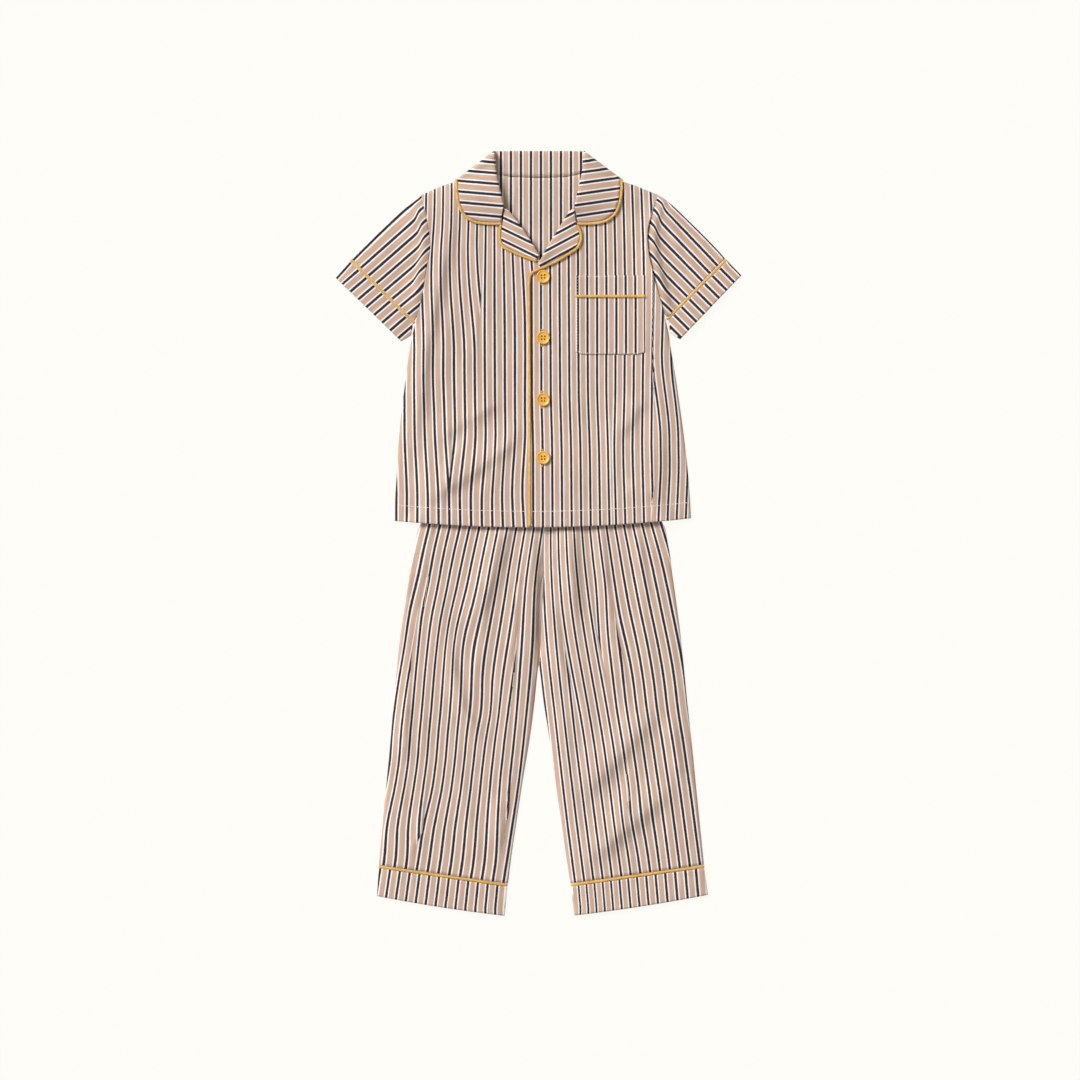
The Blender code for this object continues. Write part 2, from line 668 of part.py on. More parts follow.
def neck_seam(side):
    """The collar's seam on one front, from the lapel up to the shoulder."""
    stations = [station for station in COLLAR_STATIONS if station[6] < 1.0]
    points = [station[4:6] for station in stations]
    if side == "left":
        points = [mirrored(point) for point in points]
    return np.array(points)


def front_edge(side):
    """A front's inner edge from the hem to the neck, as rows of height and x."""
    sign = side_sign(side)
    if side == "right":
        below = list(UNDERLAP)
    else:
        below = [(x + PIPE_SEAM, y) for x, y in FRONT_PIPING[::-1] if y < CLOSURE_TOP]
    seam = [(x + sign * GAP, y) for x, y in lapel_seam(side)[::-1]]
    neck = [(x + sign * (GAP + 0.1), y) for x, y in neck_seam(side)[:-1] if y < 423.0]
    rows = [(y, x) for x, y in below + seam + neck]
    return [row for k, row in enumerate(rows) if k == 0 or row[0] > rows[k - 1][0] + 0.5]


def hem_corner(side):
    """Where a side seam ends at the hem."""
    return HEM_CORNER_RIGHT if side == "right" else HEM_CORNER_LEFT


def hem_line(from_x, to_x, shares):
    """The hem between two places, dipping to its middle."""
    first, last = np.array(hem_corner("right")), np.array(hem_corner("left"))
    x = from_x + np.asarray(shares) * (to_x - from_x)
    s = (x - first[0]) / (last[0] - first[0])
    sag = 0.5 * (first[1] + last[1]) - HEM_MIDDLE
    return np.stack([x, first[1] + s * (last[1] - first[1]) - 4 * sag * s * (1 - s)], axis=1)


def side_line(side):
    """The side seam and armhole at every row."""
    corner = hem_corner(side)
    line = []
    for row in SHIRT_ROWS:
        height = row + (corner[1] - SHIRT_ROWS[0]) * (1 - smooth((row - SHIRT_ROWS[0]) / HEM_ROWS))
        line.append((shirt_side(side, height), height))
    return np.array(line)


def row_shares():
    """How far up each row is, hem to armhole's top."""
    rows = np.array(SHIRT_ROWS)
    return (rows - rows[0]) / (rows[-1] - rows[0])


def front_plan(side):
    """Plan points of a front panel, hem to shoulder, from its side to its inner edge."""
    edge_rows = front_edge(side)
    neck_top = shoulder_line(side)[-1]
    inner = []
    for row in SHIRT_ROWS:
        level = row - (SHIRT_ROWS[0] - HEM_MIDDLE) * (1 - smooth((row - SHIRT_ROWS[0]) / HEM_ROWS))
        level += (neck_top[1] - ARMHOLE_TOP) * ease(row, SHOULDER_SLANT, ARMHOLE_TOP)
        inner.append((float(np.interp(level, *zip(*edge_rows))), level))
    inner[-1] = tuple(neck_top)
    outer = side_line(side)
    steps = np.array(SIDE_STEPS) / SIDE_STEPS[-1]
    hem = hem_line(outer[0][0], inner[0][0], steps)
    inner[0] = tuple(hem[-1])
    return patch(outer, inner, hem, along(shoulder_line(side), steps), steps, row_shares())


FRONT_PLANS = {side: front_plan(side) for side in ("right", "left")}


def facets(plan, height):
    """Triangles of a panel's outside, with its quads split both ways."""
    points = np.array([[(x, y, height((x, y))) for x, y in row] for row in plan])
    low_a, low_b = points[:-1, :-1], points[:-1, 1:]
    high_a, high_b = points[1:, :-1], points[1:, 1:]
    halves = ((low_a, low_b, high_b), (low_a, high_b, high_a),
              (low_a, low_b, high_a), (low_b, high_b, high_a))
    return np.concatenate([np.stack(half, axis=2).reshape(-1, 3, 3) for half in halves])


def beside_front(side, point):
    """The same height on the front panel's inner edge as made, just clear of it."""
    edge = FRONT_PLANS[side][:, -1]
    return (float(np.interp(point[1], edge[:, 1], edge[:, 0])) - side_sign(side) * SEAM_CLEAR, point[1])


FRONT_FACETS = {side: facets(FRONT_PLANS[side], lambda p, side=side: front_height(side, p))
                for side in ("right", "left")}


def front_top(side, point):
    """Height of the front panel as made, for what lies on it; beyond its edges the shirt's own height."""
    corners = FRONT_FACETS[side]
    a, b, c = corners[:, 0], corners[:, 1], corners[:, 2]
    x, y = point[0], point[1]
    area = (b[:, 0] - a[:, 0]) * (c[:, 1] - a[:, 1]) - (c[:, 0] - a[:, 0]) * (b[:, 1] - a[:, 1])
    v = ((x - a[:, 0]) * (c[:, 1] - a[:, 1]) - (c[:, 0] - a[:, 0]) * (y - a[:, 1])) / area
    w = ((b[:, 0] - a[:, 0]) * (y - a[:, 1]) - (x - a[:, 0]) * (b[:, 1] - a[:, 1])) / area
    inside = (v > -1e-6) & (w > -1e-6) & (v + w < 1 + 1e-6)
    if not inside.any():
        return front_height(side, point)
    heights = a[:, 2] + v * (b[:, 2] - a[:, 2]) + w * (c[:, 2] - a[:, 2])
    return float(heights[inside].max())


def front(side):
    """A front panel, lying on the back."""
    panel(f"shirt_front_{side}", FRONT_PLANS[side], lambda p: front_height(side, p) - CLOTH)


def shirt_back():
    """The back panel; its underside is the shirt's flat face."""
    shoulder = np.array(SIDE_STEPS[:SHOULDER_STEPS + 1]) / SIDE_STEPS[SHOULDER_STEPS]
    neck = np.array(BACK_NECK + tuple(mirrored(point) for point in BACK_NECK[-2::-1]))
    middle = np.linspace(SHOULDER_SHARE, 1 - SHOULDER_SHARE, len(neck))
    across = np.concatenate([SHOULDER_SHARE * shoulder, middle[1:-1], 1 - SHOULDER_SHARE * shoulder[::-1]])
    top = np.concatenate([along(shoulder_line("right"), shoulder), neck[1:-1],
                          along(shoulder_line("left"), shoulder)[::-1]])
    hem = hem_line(hem_corner("right")[0], hem_corner("left")[0], across)
    plan = patch(side_line("right"), side_line("left"), hem, top, across, row_shares())
    panel("shirt_back", plan, shirt_base)


def offset_up(ends, reach):
    """A line between two points, moved square to itself towards +Y."""
    ends = np.asarray(ends, float)
    way = unit(ends[1] - ends[0])
    square = np.array((-way[1], way[0]))
    return ends + reach * (square if square[1] > 0 else -square)


def sleeve_plan(side):
    """Plan points of a sleeve: the first row runs down the armhole, the last along the cuff's piping."""
    column = 1 if side == "right" else 2
    seam = side_line(side)[::-1]
    lowest = SLEEVE_ENDS[side]["armpit"]
    armhole = [point for point in seam if point[1] > lowest + 8.0]
    for height in (lowest + 5.0, lowest):
        armhole.append((np.interp(height, seam[::-1, 1], seam[::-1, 0]), height))
    armhole = np.array(armhole)
    armhole[:, 0] += side_sign(side) * ARMHOLE_CLEAR
    steps = np.linspace(0, 1, len(armhole))
    ends = np.array(SLEEVE_ENDS[side]["piping"])
    way = unit(ends[1] - ends[0])
    cuff_line = along(offset_up(ends, PIPE_SEAM), steps)
    cuff_line[-1] = cuff_line[-1] - UNDERARM_SHORT * way
    shares = np.linspace(0, 1, 6)
    fold = along([(row[column], row[0]) for row in SLEEVE_FOLD], shares)
    fold[0] = armhole[0]
    fold = fold + shares[:, None] * (cuff_line[0] - fold[-1])
    underarm = along([armhole[-1], cuff_line[-1]], shares)
    return patch(fold, underarm, armhole, cuff_line, steps, shares)


def sleeve(side):
    """A set-in sleeve laid flat; its short underarm fold faces the body."""
    plan = sleeve_plan(side)
    underarm = unit(plan[-1, -1] - plan[0, -1])
    square = np.array((-underarm[1], underarm[0]))
    to_body = square if square[0] * side_sign(side) < 0 else -square
    last_outs = []
    for row, share in zip(plan, np.linspace(0, 1, len(plan))):
        last_outs.append(unit((1 - share) * to_body + share * unit(row[-1] - row[-2])))
    flat_tube(f"sleeve_{side}", plan, shirt_top, CLOTH, last_outs)


def sleeve_cuff(side):
    """The turned band beyond the sleeve's piping."""
    ends = {key: np.array(value) for key, value in SLEEVE_ENDS[side].items()}
    way = unit(ends["piping"][1] - ends["piping"][0])
    across = unit(ends["hem"][0] - ends["piping"][0])
    start = ends["piping"] + PIPE_SEAM * across
    start[1] = start[1] - 0.6 * way
    shares = np.linspace(0, 1, 3)
    fold = along([start[0], ends["hem"][0]], shares)
    underarm = along([start[1], ends["underarm"], ends["hem"][1]], shares)
    steps = np.linspace(0, 1, CUFF_COLUMNS + 1)
    plan = np.array([along([fold[k], underarm[k]], steps) for k in range(len(shares))])
    flat_tube(f"sleeve_cuff_{side}", plan, shirt_top, CUFF_CLOTH)


def collar_stations():
    """Every station of the collar, from the right lapel round the back to the left lapel."""
    half = list(COLLAR_STATIONS)
    other = []
    for edge_x, edge_y, roll_x, roll_y, seam_x, seam_y, turn in half[::-1]:
        other.append((*mirrored((edge_x, edge_y)), *mirrored((roll_x, roll_y)),
                      *mirrored((seam_x, seam_y)), turn))
    return half + [COLLAR_MIDDLE_BACK] + other


def collar_side(point):
    """Which front a place on the collar belongs to."""
    return "right" if point[0] < NECK_CENTRE else "left"


def collar_sections():
    """The collar's mid-line sections."""
    sections = []
    stations = np.array(collar_stations())
    edges = inset_line(stations[:, 0:2], stations[:, 2:4], PIPE_SEAM, stations[:, 6])
    for edge, (roll_x, roll_y, seam_x, seam_y, turn) in zip(edges, stations[:, 2:]):
        seam = (seam_x, seam_y)
        if turn < 0.05:
            seam = beside_front(collar_side(seam), seam)

        def fall(point, turn=turn):
            over = front_top(collar_side(point), point) + LYING_CLEAR + CLOTH / 2
            return (1 - turn) * over + turn * CLOTH / 2

        def stand(point, turn=turn):
            over = front_top(collar_side(point), point) - CLOTH / 2
            over += STAND_RISE * ease(point[1], *STAND_RUN)
            behind = NECK_LIFT + GAP
            return (1 - turn) * over + turn * behind

        sections.append(turned_section(edge, (roll_x, roll_y), seam, fall, stand,
                                       ROLL_RISE * (1 - turn)))
    return sections


def turned_piece(name, sections):
    """Cloth through turned sections."""
    points = [point for section in sections for point in section]
    made = solid_object(name, points, grid_faces(len(sections), len(sections[0])), "collar_tan")
    thicken(made, CLOTH, 0.0)


def collar():
    """The notched collar and the piping round its fall."""
    sections = collar_sections()
    turned_piece("collar", sections)
    path = []
    across = []
    for station, section in zip(collar_stations(), sections):
        edge, turn = np.array(station[0:2]), station[6]
        over = front_top(collar_side(edge), edge) + LYING_CLEAR + PIPE_HEIGHT / 2
        behind = PIPE_HEIGHT / 2 + 0.1
        path.append((*edge, (1 - turn) * over + turn * behind))
        across.append(unit((*(edge - np.array(section[0][:2])), 0.0)))
    piping("collar_piping", path, across)


def lapel_sections(side):
    """The turned-back facing's mid-line sections, from the collar down."""
    sections = []
    stations = np.array(LAPEL_STATIONS[side])
    edges = inset_line(stations[:, 0:2], stations[:, 2:4], PIPE_SEAM)
    for edge, station, seam in zip(edges, stations, lapel_seam(side)):
        def fall(point):
            return front_top(side, point) + LYING_CLEAR + CLOTH / 2

        def stand(point):
            return front_top(side, point) - CLOTH / 2

        seam = beside_front(side, seam)
        sections.append(turned_section(edge, station[2:4], seam, fall, stand, LAPEL_RISE))
    return sections


def lapel(side):
    """A lapel with its piping; the left one's piping runs on down the front edge."""
    turned_piece(f"lapel_{side}", lapel_sections(side))
    rise = LYING_CLEAR + PIPE_HEIGHT / 2
    plan = [station[0:2] for station in LAPEL_STATIONS[side]]
    plan[0] = tuple(0.6 * np.array(plan[0]) + 0.4 * np.array(plan[1]))
    path = [(*point, front_top(side, point) + rise) for point in plan]
    if side == "right":
        piping("lapel_piping_right", path)
        return
    for x, y in (*FRONT_PIPING[:-4], *along(FRONT_PIPING[-4:], np.linspace(0, 1, 16))):
        step_down = (CLOTH + SEAM_CLEAR) * ease(y, *PIPING_STEP)
        path.append((x, y, front_top("right", (x, y)) + step_down + rise))
    piping("front_piping_left", path)


def pocket():
    """The breast pocket with its turned top band, on the left front, and the piping over their seam."""
    columns = np.linspace(POCKET_LEFT, POCKET_RIGHT, 9)

    def under(point):
        return front_top("left", point) + GAP + 0.1

    rows = np.concatenate([np.linspace(POCKET_BOTTOM, POCKET_PIPING, 7), [POCKET_TOP]])
    plan = np.array([[(x, y) for x in columns] for y in rows])
    plan[0, [0, -1], 1] += POCKET_CORNER_RISE
    panel("pocket", plan, under)
    lift = CLOTH + GAP + PIPE_HEIGHT / 2 + 0.1
    piping("pocket_piping", [(x, POCKET_PIPING, under((x, POCKET_PIPING)) + lift) for x in columns])


def closed_rings(rings, segments):
    """Faces of a stack of rings with a flat cap at each end."""
    faces = grid_faces(rings, segments, closed=True)
    faces.append(tuple(range(segments))[::-1])
    faces.append(tuple((rings - 1) * segments + k for k in range(segments)))
    return faces


def button_drill(name):
    """The four holes of a button as one cutter, kept out of the build."""
    sides = 6
    half = BUTTON_HOLE_SPACING / 2
    points = []
    faces = []
    for middle_x, middle_y in ((-half, -half), (half, -half), (half, half), (-half, half)):
        first = len(points)
        for z in (-2.0, BUTTON_THICKNESS + 2.0):
            for k in range(sides):
                angle = 2 * math.pi * k / sides
                points.append((middle_x + BUTTON_HOLE / 2 * math.cos(angle),
                               middle_y + BUTTON_HOLE / 2 * math.sin(angle), z))
        faces += [tuple(first + index for index in face) for face in closed_rings(2, sides)]
    drill = solid_object(name, points, faces, "button_mustard")
    drill.hide_render = True
    drill.display_type = 'WIRE'
    return drill


def button(number, height):
    """A four-hole button with a raised rim, lying along the front below it."""
    radius = BUTTON_DIAMETER / 2
    inner = radius - BUTTON_RIM
    bevel = BUTTON_BEVEL
    profile = ((radius - bevel, 0.0), (radius - 0.1, bevel), (radius, BUTTON_THICKNESS - bevel),
               (radius - 0.6, BUTTON_THICKNESS), (inner, BUTTON_THICKNESS),
               (inner - bevel, BUTTON_THICKNESS - bevel))
    segments = 18
    points = []
    for reach, level in profile:
        for k in range(segments):
            angle = 2 * math.pi * k / segments
            points.append((reach * math.cos(angle), reach * math.sin(angle), level))
    made = solid_object(f"button_{number}", points, closed_rings(len(profile), segments), "button_mustard")
    drill = button_drill(f"button_{number}_drill")
    reach = 0.8 * radius
    low, middle, high = (front_top("left", (BUTTON_X, height + step)) for step in (-reach, 0.0, reach))
    rest = max(middle, 0.5 * (low + high)) + GAP + 0.1
    for placed in (made, drill):
        placed.location = (BUTTON_X * MM, height * MM, rest * MM)
        placed.rotation_euler = (math.atan2(high - low, 2 * reach), 0.0, 0.0)
    holes = made.modifiers.new("holes", 'BOOLEAN')
    holes.object = drill
    holes.operation = 'DIFFERENCE'
    holes.solver = 'EXACT'


# --- Trousers ---------------------------------------------------------------------------------

def leg_inner(side, height, is_back):
    """x of a leg panel's inner edge, where the backs meet down to the crotch gap."""
    if is_back and height > BACK_SEAM_END:
        middle = look_up(BACK_SEAM, height)
        return middle + side_sign(side) * GAP / 2
    return leg_edge(2 if side == "right" else 3, height)


def leg_plan(side, rows, columns, is_back):
    """Plan points of a leg panel, from its piping up to the waist."""
    outer_column = 1 if side == "right" else 4
    cut = offset_up(LEG_ENDS[side]["piping"], PIPE_SEAM)
    drop = cut[0][1] - cut[1][1]
    plan = [along(cut, np.linspace(0, 1, columns + 1))]
    for height in sorted(rows):
        lower = height - drop * smooth((SLANT_START - height) / (SLANT_START - cut[0][1]))
        outer = (leg_edge(outer_column, height), height)
        inner = (leg_inner(side, lower, is_back), lower)
        plan.append(along([outer, inner], np.linspace(0, 1, columns + 1)))
    return np.array(plan)


def leg_panels(side):
    """A leg's back, flat on the ground, and its front on top of it."""
    panel(f"trousers_back_{side}", leg_plan(side, BACK_ROWS, BACK_COLUMNS, True), lambda p: 0.0)
    panel(f"trousers_front_{side}", leg_plan(side, FRONT_ROWS, FRONT_COLUMNS, False),
          lambda p: trousers_top(p) - CLOTH)


def leg_cuff(side):
    """The band at the ankle, beyond its piping."""
    ends = {key: np.array(value) for key, value in LEG_ENDS[side].items()}
    start = offset_up(ends["piping"], -PIPE_SEAM)
    rows = []
    steps = np.linspace(0, 1, LEG_CUFF_COLUMNS + 1)
    for share in np.linspace(0, 1, 3):
        row = along([start[0] + share * (ends["hem"][0] - start[0]),
                     start[1] + share * (ends["hem"][1] - start[1])], steps)
        row[:, 1] -= share * LEG_HEM_SAG * np.sin(math.pi * steps)
        rows.append(row)
    flat_tube(f"leg_cuff_{side}", np.array(rows), trousers_top, CUFF_CLOTH)
    piping_ring(f"leg_piping_{side}", ends["piping"], trousers_top, 13)


def waistband():
    """The gathered casing of the elastic: its waves show on top, and its underside lies flat."""
    def top(point):
        wave = math.cos(2 * math.pi * WAISTBAND_GATHERS * (point[0] - WAISTBAND_EDGES[0])
                        / (WAISTBAND_EDGES[1] - WAISTBAND_EDGES[0]))
        return 2 * BAND_CLOTH + 0.6 + 0.3 * (1 + wave)

    columns = 2 * WAISTBAND_GATHERS
    rows = [along([(WAISTBAND_EDGES[0], y), (WAISTBAND_EDGES[1], y)], np.linspace(0, 1, columns + 1))
            for y in (WAIST_SEAM, WAISTBAND_TOP)]
    flat_tube("waistband", np.array(rows), top, BAND_CLOTH)


def build():
    """Clear the scene and make the whole set."""
    for old in list(bpy.data.objects):
        bpy.data.objects.remove(old)
    waistband()
    shirt_back()
    for side in ("right", "left"):
        leg_panels(side)
        leg_cuff(side)
        front(side)
        sleeve(side)
        sleeve_cuff(side)
        piping_ring(f"sleeve_piping_{side}", SLEEVE_ENDS[side]["piping"], shirt_top, 11)
        lapel(side)
    collar()
    pocket()
    for number, height in enumerate(BUTTON_HEIGHTS, start=1):
        button(number, height)


build()
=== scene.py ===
"""How the child's pyjama set looks: striped cotton, mustard piping, buttons, stitching, light and camera.

The set lies flat on its back on z = 0 with the collar towards +Y, and the wearer's left side is +X.
Sizes below are in millimetres; the makers of pieces turn them into metres.
"""
from functools import partial
from math import atan2, cos, pi, radians, sin

import bpy
import numpy as np
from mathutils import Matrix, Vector
from numpy.linalg import norm


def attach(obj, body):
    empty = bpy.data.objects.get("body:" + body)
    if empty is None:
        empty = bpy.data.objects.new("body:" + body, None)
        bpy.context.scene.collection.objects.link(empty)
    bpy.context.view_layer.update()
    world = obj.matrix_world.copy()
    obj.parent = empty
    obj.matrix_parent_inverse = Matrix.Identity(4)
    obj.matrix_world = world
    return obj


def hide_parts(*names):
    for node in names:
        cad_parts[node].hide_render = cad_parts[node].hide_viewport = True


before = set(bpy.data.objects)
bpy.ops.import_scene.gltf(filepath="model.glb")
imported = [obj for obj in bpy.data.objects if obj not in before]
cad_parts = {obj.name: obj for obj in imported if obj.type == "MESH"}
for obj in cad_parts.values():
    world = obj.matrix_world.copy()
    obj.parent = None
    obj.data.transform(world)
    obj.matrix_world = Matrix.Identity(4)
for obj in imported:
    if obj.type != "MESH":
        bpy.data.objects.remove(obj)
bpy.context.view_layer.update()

MM = 0.001
SIDES = ("right", "left")
SIGN = {"right": -1.0, "left": 1.0}
COLUMN = {"right": 1, "left": 2}                   # in the shirt's tables
LEG_COLUMNS = {"right": (1, 2), "left": (4, 3)}    # in the trousers' table: outer edge, inner edge

# Cloth and trim
CLOTH = 0.7            # wall of one layer as it shows
BAND_CLOTH = 1.4
LEAF_CLOTH = 0.9       # collar and lapels
POCKET_CLOTH = 0.5
GAP = 0.3
SOLID_CLOTH = 1.2      # wall of the solid that a layer stands for
PIPE_WIDTH = 3.0
PIPE_SHOWS = 3.1         # width of the cord itself
PIPE_HEIGHT = 1.9
PIPE_SEAM = PIPE_WIDTH / 2 + GAP + 0.1
PIPE_PROUD = 0.5         # how far a ring of piping stands out from its tube
PIPE_ANGLES = (60, 30, 0, -30, -60)
SEAM_CLEAR = 0.5
ARMHOLE_CLEAR = 0.35
LYING_CLEAR = 1.3
UNDERARM_SHORT = 2.0
FOLD_HEIGHT = 3.1      # a tube of cloth at its folded edge
FOLD_RADIUS = 1.8
TUBE_LOW = 0.05        # the lower layer of a tube over the ground
EDGE_DROP = 1.5        # how far an upper layer turns down to meet the lower one at a side
EDGE_TURN = 2.4
LOFT = 2.2
LOFT_WIDTH = 22.0
FOLD_ANGLES = (67.5, 45, 22.5, 0, -22.5, -45, -67.5)     # of a tube's section round its folded edge
SHIRT_RIPPLES = (0.22, 7)      # height and seed
TROUSER_RIPPLES = (0.25, 11)
RIPPLE_WAVES = 14
HEM_DEPTH = 18.6       # the turned-up hem of the shirt, up to its stitches
HEM_STEP = 0.35

# Where the shirt lies on something
WAIST_LIFT = 5.2
WAIST_CENTRE = 4.2
WAIST_HALF_WIDTH = 128.0
HEM_HALF_WIDTH = 145.0
WAIST_SIDE_RAMP = 24.0
WAIST_RAMP = (142, 68)
NECK_LIFT = 2.5
NECK_CENTRE = 0.9
NECK_HALF_WIDTH = 100.0
NECK_SIDE_RAMP = 26.0
NECK_RAMP = (352, 394)
OVERLAP_SIDE = (64, 38)
OVERLAP_TOP = (350, 324)

# Fastening
BUTTON_DIAMETER = 15.5
BUTTON_THICKNESS = 2.8
BUTTON_HOLE = 1.9
BUTTON_HOLE_SPACING = 3.4
BUTTON_RIM = ((1, 0), (0.35, 0.35), (0.05, 0.95), (0, 1.4))        # in from the edge, up
BUTTON_ROUND = (0.85, 0.9)                                         # of the rim's top: across, up
BUTTON_DISH = ((2.1, 0.75), (2.7, 0.95), (3.6, 1))                 # in from the edge, below the top
BUTTON_X = 5.6
BUTTONHOLE_X = BUTTON_X - 1.4
BUTTONHOLE_HALF = 9.4
BUTTONHOLE_WIDE = 1.05
BUTTONHOLE_STITCHES = 34
BUTTON_HEIGHTS = (297.8, 226.9, 155.3, 87.7)
UNDERLAP = ((22, 0), (22, 286), (20, 297), (10, 309))

# The shirt's sides and armholes: height, wearer's right edge, wearer's left edge
SHIRT_SIDES = (
    (39, -166, 175.9),
    (74, -163.9, 173.2),
    (108, -161.8, 169.4),
    (155, -157, 163.1),
    (190, -152.4, 157.8),
    (213, -149.2, 153.8),
    (235, -144.9, 150.6),
    (248, -141.4, 147.4),
    (272, -135, 141.2),
    (295, -131.2, 134.2),
    (310, -128.8, 130.7),
    (328, -125, 127.2),
    (343, -125.1, 126),
    (357, -127.4, 127.4),
    (374, -131.1, 131.8),
    (392.8, -135.6, 138.7),
)
HEM_CORNERS = {"right": (-166.2, 14.8), "left": (177.0, 17.8)}
HEM_STITCH_ENDS = {"right": (-163.2, -12.8), "left": (-7.4, 174.0)}
HEM_MIDDLE = 7.2
ARMPIT_HEIGHT = 248.0
ARMHOLE_TOP = 392.8
SHOULDER = ((-135.6, 392.8), (-120.5, 399.5), (-109.9, 403.8), (-100, 406.6),
            (-90, 409.6), (-75, 416), (-57.9, 423.4))

# The sleeve's upper fold: height, wearer's right, wearer's left
SLEEVE_FOLD = (
    (392.8, -135.6, 138.7),
    (387, -142.4, 148),
    (375.4, -157.4, 161.5),
    (352.2, -182.4, 185.7),
    (329, -206.1, 208.9),
    (317.3, -217.9, 219.4),
)
SLEEVE_ENDS = {
    "right": {"piping": ((-217.5, 317.1), (-143.6, 243.9)), "hem": ((-235.4, 297.1), (-159, 222.8)),
              "underarm": (-147.6, 229.6), "armpit": 252.0},
    "left": {"piping": ((217.8, 317.7), (149.1, 248.1)), "hem": ((235.5, 299.5), (164.4, 225.3)),
             "underarm": (152.9, 232.3), "armpit": 255.0},
}

# The collar's right half: outer edge, roll line, neck seam; turn is 1 where the fall lies behind
COLLAR_STATIONS = (
    # edge_x, edge_y, roll_x, roll_y, seam_x, seam_y, turn
    (-43.4, 359.3, -40.4, 379.4, -42.9, 380.9, 0),
    (-52, 358.9, -41.1, 384.7, -44.2, 385.3, 0),
    (-61.4, 359.4, -42.5, 389.9, -46.9, 390.6, 0),
    (-73, 361.1, -43.8, 395.1, -49.6, 396.2, 0),
    (-82.2, 365.9, -44.9, 400.3, -51.8, 402, 0),
    (-89, 373.6, -46.3, 406.1, -53.2, 407.8, 0),
    (-92.9, 384.7, -47.8, 413.1, -54.5, 413.6, 0),
    (-94.5, 396.3, -49.3, 421.2, -55.6, 418.6, 0),
    (-94.8, 407.4, -50.2, 434.4, -56.2, 421.8, 0),
    (-95, 409.2, -50.8, 438.8, -56.6, 423.2, 0.07),
    (-95, 410.2, -51.2, 441.6, -56.8, 424.3, 0.3),
    (-95, 410.5, -51.3, 442.9, -56.6, 424.8, 0.5),
    (-94.9, 410.2, -51, 443.1, -56, 424.6, 0.7),
    (-94.6, 409.2, -50.2, 443.1, -55.2, 423.8, 0.95),
    (-93.2, 406.2, -48.6, 443, -53, 421.7, 1),
    (-80, 402.2, -41, 443.2, -46, 417, 1),
    (-52, 398.6, -29, 443.3, -31, 414.2, 1),
    (-26, 397.3, -14, 443.3, -15, 413.1, 1),
)
COLLAR_MIDDLE_BACK = (0.9, 397, 0.9, 443.3, 0.9, 412.9, 1)
BACK_NECK = ((-57.9, 423.4), (-53.6, 420.8), (-46.2, 416.5), (-31, 413.4), (0.9, 412.3))

# The turned-back facings, from the collar down to the closure: edge_x, edge_y, roll_x, roll_y
LAPEL_STATIONS = {
    "right": (
        (-43, 358.4, -39.6, 377.7),
        (-44.2, 353.6, -34, 373.2),
        (-44.8, 347, -28.6, 367.4),
        (-44.3, 339.4, -24.6, 362),
        (-40.5, 332.3, -21.4, 357.6),
        (-33.5, 328.3, -18, 352.8),
        (-21, 322.6, -11.4, 343.1),
        (-10.5, 318.8, -3.5, 330.1),
        (-2.3, 316, 0.8, 322.5),
    ),
    "left": (
        (44.7, 358.2, 41.6, 377.9),
        (46.9, 354, 35.2, 372),
        (48.9, 349, 31.4, 366),
        (49.2, 340.5, 27.6, 359.6),
        (45.4, 331.4, 24.2, 354.2),
        (37.4, 325.7, 20.6, 348.5),
        (28.5, 319.9, 15.8, 340.9),
        (16.4, 313.3, 8.7, 328.6),
        (8.6, 309.8, 3.4, 318.4),
        (2.6, 307.2, -0.6, 313.4),
    ),
}
LAPEL_SEAM = 2.7
NECK_EDGE_TOP = 423.0
STAND_RISE = 0.5
STAND_RUN = (404, 422)
ROLL_INSET = 1.8
ROLL_RISE = 4.8
FALL_COLUMNS = 18      # columns of a collar section up to its roll line
LAPEL_RISE = 1.8
FRONT_PIPING = ((-4.8, 303.9), (-7.6, 301.6), (-9.5, 298.6), (-10.5, 294.6), (-10.9, 288),
                (-10.8, 270), (-10.5, 190), (-10.1, 90), (-10, 8.4))
PIPING_STEP = (297, 304)
CLOSURE_TOP = 300.0

# Pocket
POCKET_LEFT = 43.2
POCKET_RIGHT = 123.4
POCKET_TOP = 299.3
POCKET_PIPING = 275.0
POCKET_BOTTOM = 207.4
POCKET_CORNER_RISE = 2.4
POCKET_CLEAR = 0.15
POCKET_THICK = 0.55         # and what its band and its turned-in rim add, and its edge takes off
POCKET_BAND = 0.35
POCKET_RIM = 0.25
POCKET_EDGE = 0.3
POCKET_TOP_SIDE = 0.85      # what lies on the pocket is that far over the front
POCKET_STITCH_INSET = 1.7

# Trousers: height, right leg's outer and inner edges, left leg's inner and outer edges
TROUSER_EDGES = (
    (29, -124, 5.75, 6.05, 131),
    (18, -133, 5.75, 6.05, 140.8),
    (8, -138, 5.75, 6.05, 146.4),
    (-7.4, -142, 5.75, 6.05, 149.4),
    (-24, -145.6, 5.7, 6.1, 152.5),
    (-45.7, -149, 5.4, 6.1, 155.2),
    (-64, -151.6, 2.3, 7.3, 157.8),
    (-91, -155.8, 0.7, 7.5, 161.5),
    (-115, -159.4, 0.9, 8, 164.6),
    (-130, -161.2, 0.8, 4.2, 166.2),
    (-141, -162.5, 0.5, 2.6, 167.3),
    (-152, -163.6, -0.1, 1.4, 168.4),
    (-170, -165.3, -2, 3.2, 170.2),
    (-193, -167.5, -4.2, 5.8, 172.4),
    (-239, -171.4, -10.2, 13.2, 177.6),
    (-286, -175.8, -18, 19.6, 182.2),
    (-332, -180.1, -25, 26.4, 186.8),
    (-378.6, -184.5, -31.8, 33, 191.6),
    (-402, -186.6, -34.6, 36.6, 194),
    (-445, -188.4, -39.6, 42.4, 198.2),
)
BACK_SEAM = ((29, 5.9), (-45.7, 5.75), (-91, 4.6), (-130, 2.8), (-152, 0.8))
BACK_SEAM_END = -153.0
WAIST_SEAM = 29.0
WAISTBAND_TOP = 58.0
WAISTBAND_EDGES = (-121, 129)
